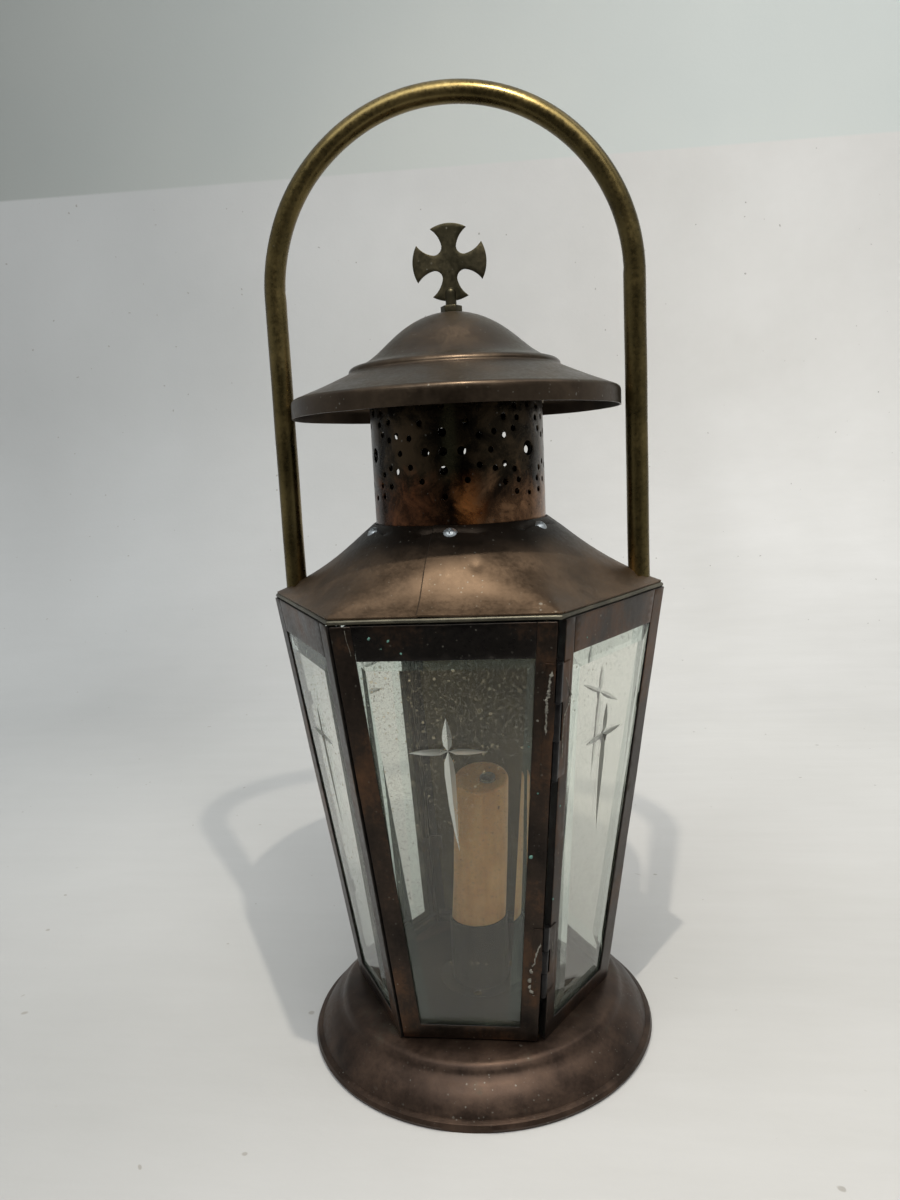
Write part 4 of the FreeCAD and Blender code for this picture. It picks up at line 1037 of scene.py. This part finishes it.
def solder_run(name, body, angle, line, width, height, seed, base=0.0005):
    """A ragged run of solder on a panel or a hinge leaf, along points given across and up it."""
    chance = random.Random(seed)
    places = []
    steps = []
    for (ax, ay), (bx, by) in zip(line, line[1:]):
        count = max(1, round(math.hypot(bx - ax, by - ay) / 0.0006))
        steps += [(ax + (bx - ax) * i / count, ay + (by - ay) * i / count, bx - ax, by - ay)
                  for i in range(count)]
    ring = 7
    for index, (across, along, dx, dy) in enumerate(steps):
        size = math.hypot(dx, dy)
        nx, ny = -dy / size, dx / size
        wander = noise.noise(Vector((index * 0.21, seed, 0))) * width * 0.3
        taper = min(1.0, (index + 1) / 4, (len(steps) - index) / 4)
        wide = width * taper * (0.35 + 1.1 * abs(noise.noise(Vector((index * 0.37, seed, 3)))))
        tall = height * taper * (0.5 + 0.8 * chance.random())
        for point in range(ring):
            share = point / (ring - 1) * 2 - 1
            off = wander + wide * share * 0.5
            lift = (base + tall) * (1 - share * share) - 0.00012
            places.append(on_panel(angle, across + nx * off, along + ny * off, lift))
    mesh = mesh_from(name, places, grid_faces(len(steps), ring, False))
    return add_object(name, mesh, "solder", body, "zinc_screws")


def crusts(name, body, material, spots, seed, slot):
    """Small flat lumps: each spot gives its place, its outward direction and its size."""
    chance = random.Random(seed)
    shape = bmesh.new()
    for place, outward, size in spots:
        lump = bmesh.ops.create_icosphere(shape, subdivisions=3, radius=1.0)["verts"]
        side = outward.orthogonal().normalized()
        other = outward.cross(side)
        wide = size * chance.uniform(0.8, 1.2)
        long = size * chance.uniform(0.8, 1.3)
        tall = size * chance.uniform(0.3, 0.5)
        shift = chance.uniform(0, 99)
        for vertex in lump:
            point = vertex.co
            swell = 1 + 0.35 * noise.noise(point * 1.7 + Vector((shift, 0, 0)))
            moved = side * point.x * wide + other * point.y * long + outward * point.z * tall
            vertex.co = place + moved * swell
    for vertex in shape.verts:
        vertex.co = held_in(vertex.co)
    mesh = bpy.data.meshes.new(name)
    shape.to_mesh(mesh)
    shape.free()
    smooth(mesh)
    return add_object(name, mesh, material, body, slot)


def panel_spots(angle, marks):
    """Spots on a panel, from across, along and size in millimetres."""
    outward = around(angle, math.cos(tilt), -math.sin(tilt))
    return [(on_panel(angle, across * 0.001, along * 0.001), outward, size * 0.001)
            for across, along, size in marks]


# The candle

def make_candle():
    """Candle with a softened top and slightly uneven sides."""
    mesh = with_modifiers(clean_copy("candle"), ("REMESH", {"mode": "VOXEL", "voxel_size": 0.0007}))
    for vertex in mesh.vertices:
        point = squared(vertex.co.copy())
        ease = min(1.0, (point.z - candle_low.z) / 0.01)
        vertex.co = leaning(point) + noise.noise_vector(point * 45) * 0.00022 * ease
    smooth(mesh)
    add_object("candle_body", mesh, "wax", "candle", "candle_wax", "candle")
    for node, material, slot in (("wick_tube", "lining", "wick_tube"), ("wick", "wick", "wick")):
        part = clean_copy(node)
        for vertex in part.vertices:
            if node == "wick_tube" and vertex.co.z > candle_high.z - 0.002:
                vertex.co.z += 0.0006
            vertex.co = leaning(vertex.co.copy())
        smooth(part, 40)
        add_object(node + "_bent", part, material, "candle", slot, node)


def squared(point):
    """The solid's big round on the top edge, drawn out to a small one."""
    full = 0.0045
    small = 0.0016
    hole_reach = 0.009
    low = candle_high.z - full
    radius = math.hypot(point.x, point.y)
    if point.z <= low or radius < hole_reach:
        return point
    rise = min(point.z - low, full)
    wide = candle_radius - full + math.sqrt(full**2 - rise**2)
    wanted = candle_radius
    over = rise - (full - small)
    if over > 0:
        wanted = candle_radius - small + math.sqrt(max(small**2 - over**2, 0.0))
    share = min(1.0, (radius - hole_reach) / (wide - hole_reach))
    scale = (radius + (wanted - wide) * share) / radius
    return Vector((point.x * scale, point.y * scale, point.z))


def leaning(point):
    """The old candle leans a little to the right above its cup, and its top is higher at the back."""
    share = max(0.0, point.z - 0.066) / (candle_high.z - 0.066)
    near_top = max(0.0, 1 - (candle_high.z - point.z) / 0.03)
    pull = near_top * max(0.0, 1 - (math.hypot(point.x - 0.004, point.y) / 0.0145) ** 2)
    return Vector((point.x + 0.0052 * share ** 0.8, point.y - 0.0034 * pull,
                   point.z + near_top * (0.0022 + point.y * 0.26)))


panel_angles = {"right_front": 60, "right_rear": 120, "back": 180, "left_rear": 240, "left_front": 300}

candle_low, candle_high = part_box("candle")
candle_radius = 0.01615
materials["wax"] = wax(leaning(Vector((0.004, 0.0, candle_high.z))))

make_foot()
roof_tree = make_roof()
make_chimney()
make_cap()
make_handle(roof_tree)
make_candle()

# Frames and bands: faces turned away from the front get the painted shade finish.
panel_finish = ["panel", "crevice_shade"]
refined("door_frame", panel_finish, "door", "frame_copper", 0.00045, choose=edges_dark(0))
refined("door_top_band", ["band", "crevice_shade"], "door", "frame_copper", 0.0003, choose=edges_dark(0))
make_pane("door_glass", "door", 0, 0.0085, 0.002, 0.0)
for name, angle in panel_angles.items():
    refined(name + "_frame", panel_finish, "lantern", "frame_copper", 0.00045, choose=edges_dark(angle))
    refined(name + "_top_band", panel_finish, "lantern", "frame_copper", 0.0003, choose=edges_dark(angle))
    if name != "back":
        make_pane(name + "_glass", "lantern", angle, 0.012, 0.0016, 0.0053)
refined("back_sheet", "sheet", "lantern", "frame_copper", 0.0001)
refined("eave_moulding", "eave", "lantern", "roof_copper", 0.0002, 0.004, 0.0003)
hinge_finish = ["panel", "hinge"]
refined("door_hinge_leaves", hinge_finish, "door", "hinge_iron", 0.00012, choose=barrels_black)
refined("frame_hinge_leaves", hinge_finish, "lantern", "hinge_iron", 0.00012, choose=barrels_black)
refined("finial_cross", "cross", "lantern", "aged_brass", 0.0002, 0.003, 0.00012)
refined("finial_nut", "cross", "lantern", "aged_brass", 0.0004, 0.003, 0.0)
refined("finial_post", "cross", "lantern", "aged_brass", 0.00015, 0.004, 0.0)
refined("chimney_screws", "zinc", "lantern", "zinc_screws", 0.00012, 0.003, 0.0)
refined("candle_cup", "cup", "lantern", "aged_brass", 0.0002)

kept = {
    "brass": ("candle_cup_rivets", "cap_bridge", "cap_bridge_rivets", "post_nuts", "handle_studs",
              "handle_spacers", "handle_nuts"),
    "panel": ("door_glass_clips", "panel_glass_clips"),
    "hinge": ("hinge_pins", "door_catch_spring"),
    "zinc": ("chimney_nuts",),
}
for material, names in kept.items():
    for name in names:
        for material_slot in nodes[name].material_slots:
            material_slot.material = materials[material]

# Marks of age: solder and crusts seen on the lantern
solder_run("door_stile_solder", "door", 0,
           [(0.0505, 0.2146), (0.0488, 0.2064), (0.0476, 0.1995), (0.0468, 0.190), (0.0466, 0.181)],
           0.0032, 0.0006, 3)
solder_run("door_low_solder", "door", 0, [(0.0398, 0.064), (0.0372, 0.0555), (0.0350, 0.0485)],
           0.0027, 0.0005, 5)
solder_run("side_stile_solder", "lantern", 60,
           [(-0.0500, 0.2107), (-0.0470, 0.2055), (-0.0428, 0.2000), (-0.0442, 0.1962), (-0.0480, 0.190),
            (-0.0478, 0.181), (-0.0462, 0.1667)], 0.0012, 0.0004, 7)
solder_run("side_low_solder", "lantern", 60, [(-0.0385, 0.0635), (-0.0362, 0.0545), (-0.0354, 0.0479)],
           0.0009, 0.0003, 9)
solder_run("band_lap_solder", "door", 0,
           [(-0.0473, 0.2375), (-0.0468, 0.2319), (-0.0455, 0.2258), (-0.0449, 0.2217)],
           0.0006, 0.0003, 11, 0.0)
crusts("door_low_lumps", "door", "solder",
       panel_spots(0, [(34.6, 46.0, 1.3), (33.6, 40.5, 1.5), (33.5, 36.5, 1.2), (34.2, 33.6, 1.5), (35.0, 31.5, 0.9),
                       (49.6, 211.0, 0.9), (42.7, 189.0, 0.5), (46.0, 177.5, 0.7)]), 13, "zinc_screws")
crusts("door_verdigris", "door", "verdigris",
       panel_spots(0, [(-35.8, 232.2, 0.75), (-26.5, 230.7, 0.7), (-20.8, 224.3, 0.5), (36.8, 114.6, 1.0),
                       (41.5, 150.2, 0.4), (38.0, 175.3, 0.35), (-30.2, 226.9, 0.3)]), 15, "zinc_screws")
crusts("side_verdigris", "lantern", "verdigris",
       panel_spots(60, [(-41.0, 88.4, 0.6), (-42.6, 141.0, 0.45), (-31.0, 226.0, 0.4)]), 17, "zinc_screws")

# Floor and backdrop

def make_backdrop():
    """A pale sheet that runs along the floor and curves up behind."""
    near = -1.6
    bend_start = 0.62
    bend = 0.5
    top = 2.2
    half = 2.2
    line = [(near, 0.0), (bend_start, 0.0)]
    line += [(bend_start + bend * math.sin(math.radians(a)), bend * (1 - math.cos(math.radians(a))))
             for a in range(6, 91, 6)]
    line.append((bend_start + bend, top))
    places = []
    for y, z in line:
        places += [(-half, y, z), (half, y, z)]
    faces = [(2 * i, 2 * i + 1, 2 * i + 3, 2 * i + 2) for i in range(len(line) - 1)]
    mesh = bpy.data.meshes.new("backdrop")
    mesh.from_pydata(places, [], faces)
    smooth(mesh)
    mesh.materials.append(backdrop_paper())
    sweep = bpy.data.objects.new("backdrop", mesh)
    bpy.context.scene.collection.objects.link(sweep)


def lamp(name, place, target, size, power, colour=(1.0, 1.0, 1.0)):
    data = bpy.data.lights.new(name, "AREA")
    data.shape = "DISK"
    data.size = size
    data.energy = power
    data.color = colour
    light = bpy.data.objects.new(name, data)
    light.location = place
    light.rotation_euler = (Vector(target) - Vector(place)).to_track_quat("-Z", "Y").to_euler()
    bpy.context.scene.collection.objects.link(light)


def light_world():
    """A room: pale ceiling, dim walls, and dark behind the one who looks."""
    world = bpy.data.worlds.new("studio")
    bpy.context.scene.world = world
    world.use_nodes = True
    graph = Graph(world.node_tree, "Generated")
    x, _, z = graph.split()
    above = graph.fit(z, 0.12, 0.95, 0.0, 0.86, "SMOOTHSTEP")
    sides = graph.fit(graph.sum(x, 0.0, "ABSOLUTE"), 0.25, 0.95, 0.055, 0.42, "SMOOTHSTEP")
    background = graph.add("ShaderNodeBackground", {"Color": (0.94, 0.975, 1.0),
                                                    "Strength": graph.sum(above, sides, "MAXIMUM")})
    graph.add("ShaderNodeOutputWorld", {"Surface": background.outputs[0]})


def lamp_towards(name, angle, rise, distance, size, power, colour=(1.0, 1.0, 1.0)):
    """A lamp at an angle round the lantern and a rise over the table."""
    target = Vector((0, 0, 0.28))
    tilted = math.radians(rise)
    place = target + around(angle, distance * math.cos(tilted), distance * math.sin(tilted))
    lamp(name, place, target, size, power, colour)


make_backdrop()
light_world()
lamp("near_lamp", (0.062, -0.240, 0.82), (0, -0.02, 0.28), 0.011, 2.3, (1.0, 0.93, 0.82))
lamp("wall_wash", (1.0, 0.1, 1.7), (0.75, 1.12, 0.75), 0.9, 3.2)
lamp_towards("soft_right", 30.0, 50.0, 2.3, 1.1, 14.0, (1.0, 0.985, 0.96))
lamp_towards("soft_left", -22.0, 50.0, 2.3, 1.2, 12.0, (0.95, 0.98, 1.0))


# The camera, fitted to the photograph

def place_camera():
    """Turned left, looking a little down, and rolled as the photo was held."""
    turn = math.radians(-7.44)
    drop = math.radians(8.84)
    roll = math.radians(-2.76)
    focal = 890.0
    picture_height = 1200.0
    forward = Vector((math.sin(turn) * math.cos(drop), math.cos(turn) * math.cos(drop), -math.sin(drop)))
    right = Vector((math.cos(turn), -math.sin(turn), 0))
    up = right.cross(forward)
    camera_right = math.cos(roll) * right + math.sin(roll) * up
    camera_up = -math.sin(roll) * right + math.cos(roll) * up
    data = bpy.data.cameras.new("camera")
    data.sensor_fit = "VERTICAL"
    data.sensor_height = 36.0
    data.lens = focal / picture_height * data.sensor_height
    data.clip_start = 0.01
    camera = bpy.data.objects.new("camera", data)
    eye = (0.0573, -0.504, 0.3387)
    camera.matrix_world = Matrix([[camera_right[i], camera_up[i], -forward[i], eye[i]] for i in range(3)]
                                 + [[0, 0, 0, 1]])
    bpy.context.scene.collection.objects.link(camera)
    bpy.context.scene.camera = camera


place_camera()
bpy.context.scene.view_settings.view_transform = "Standard"
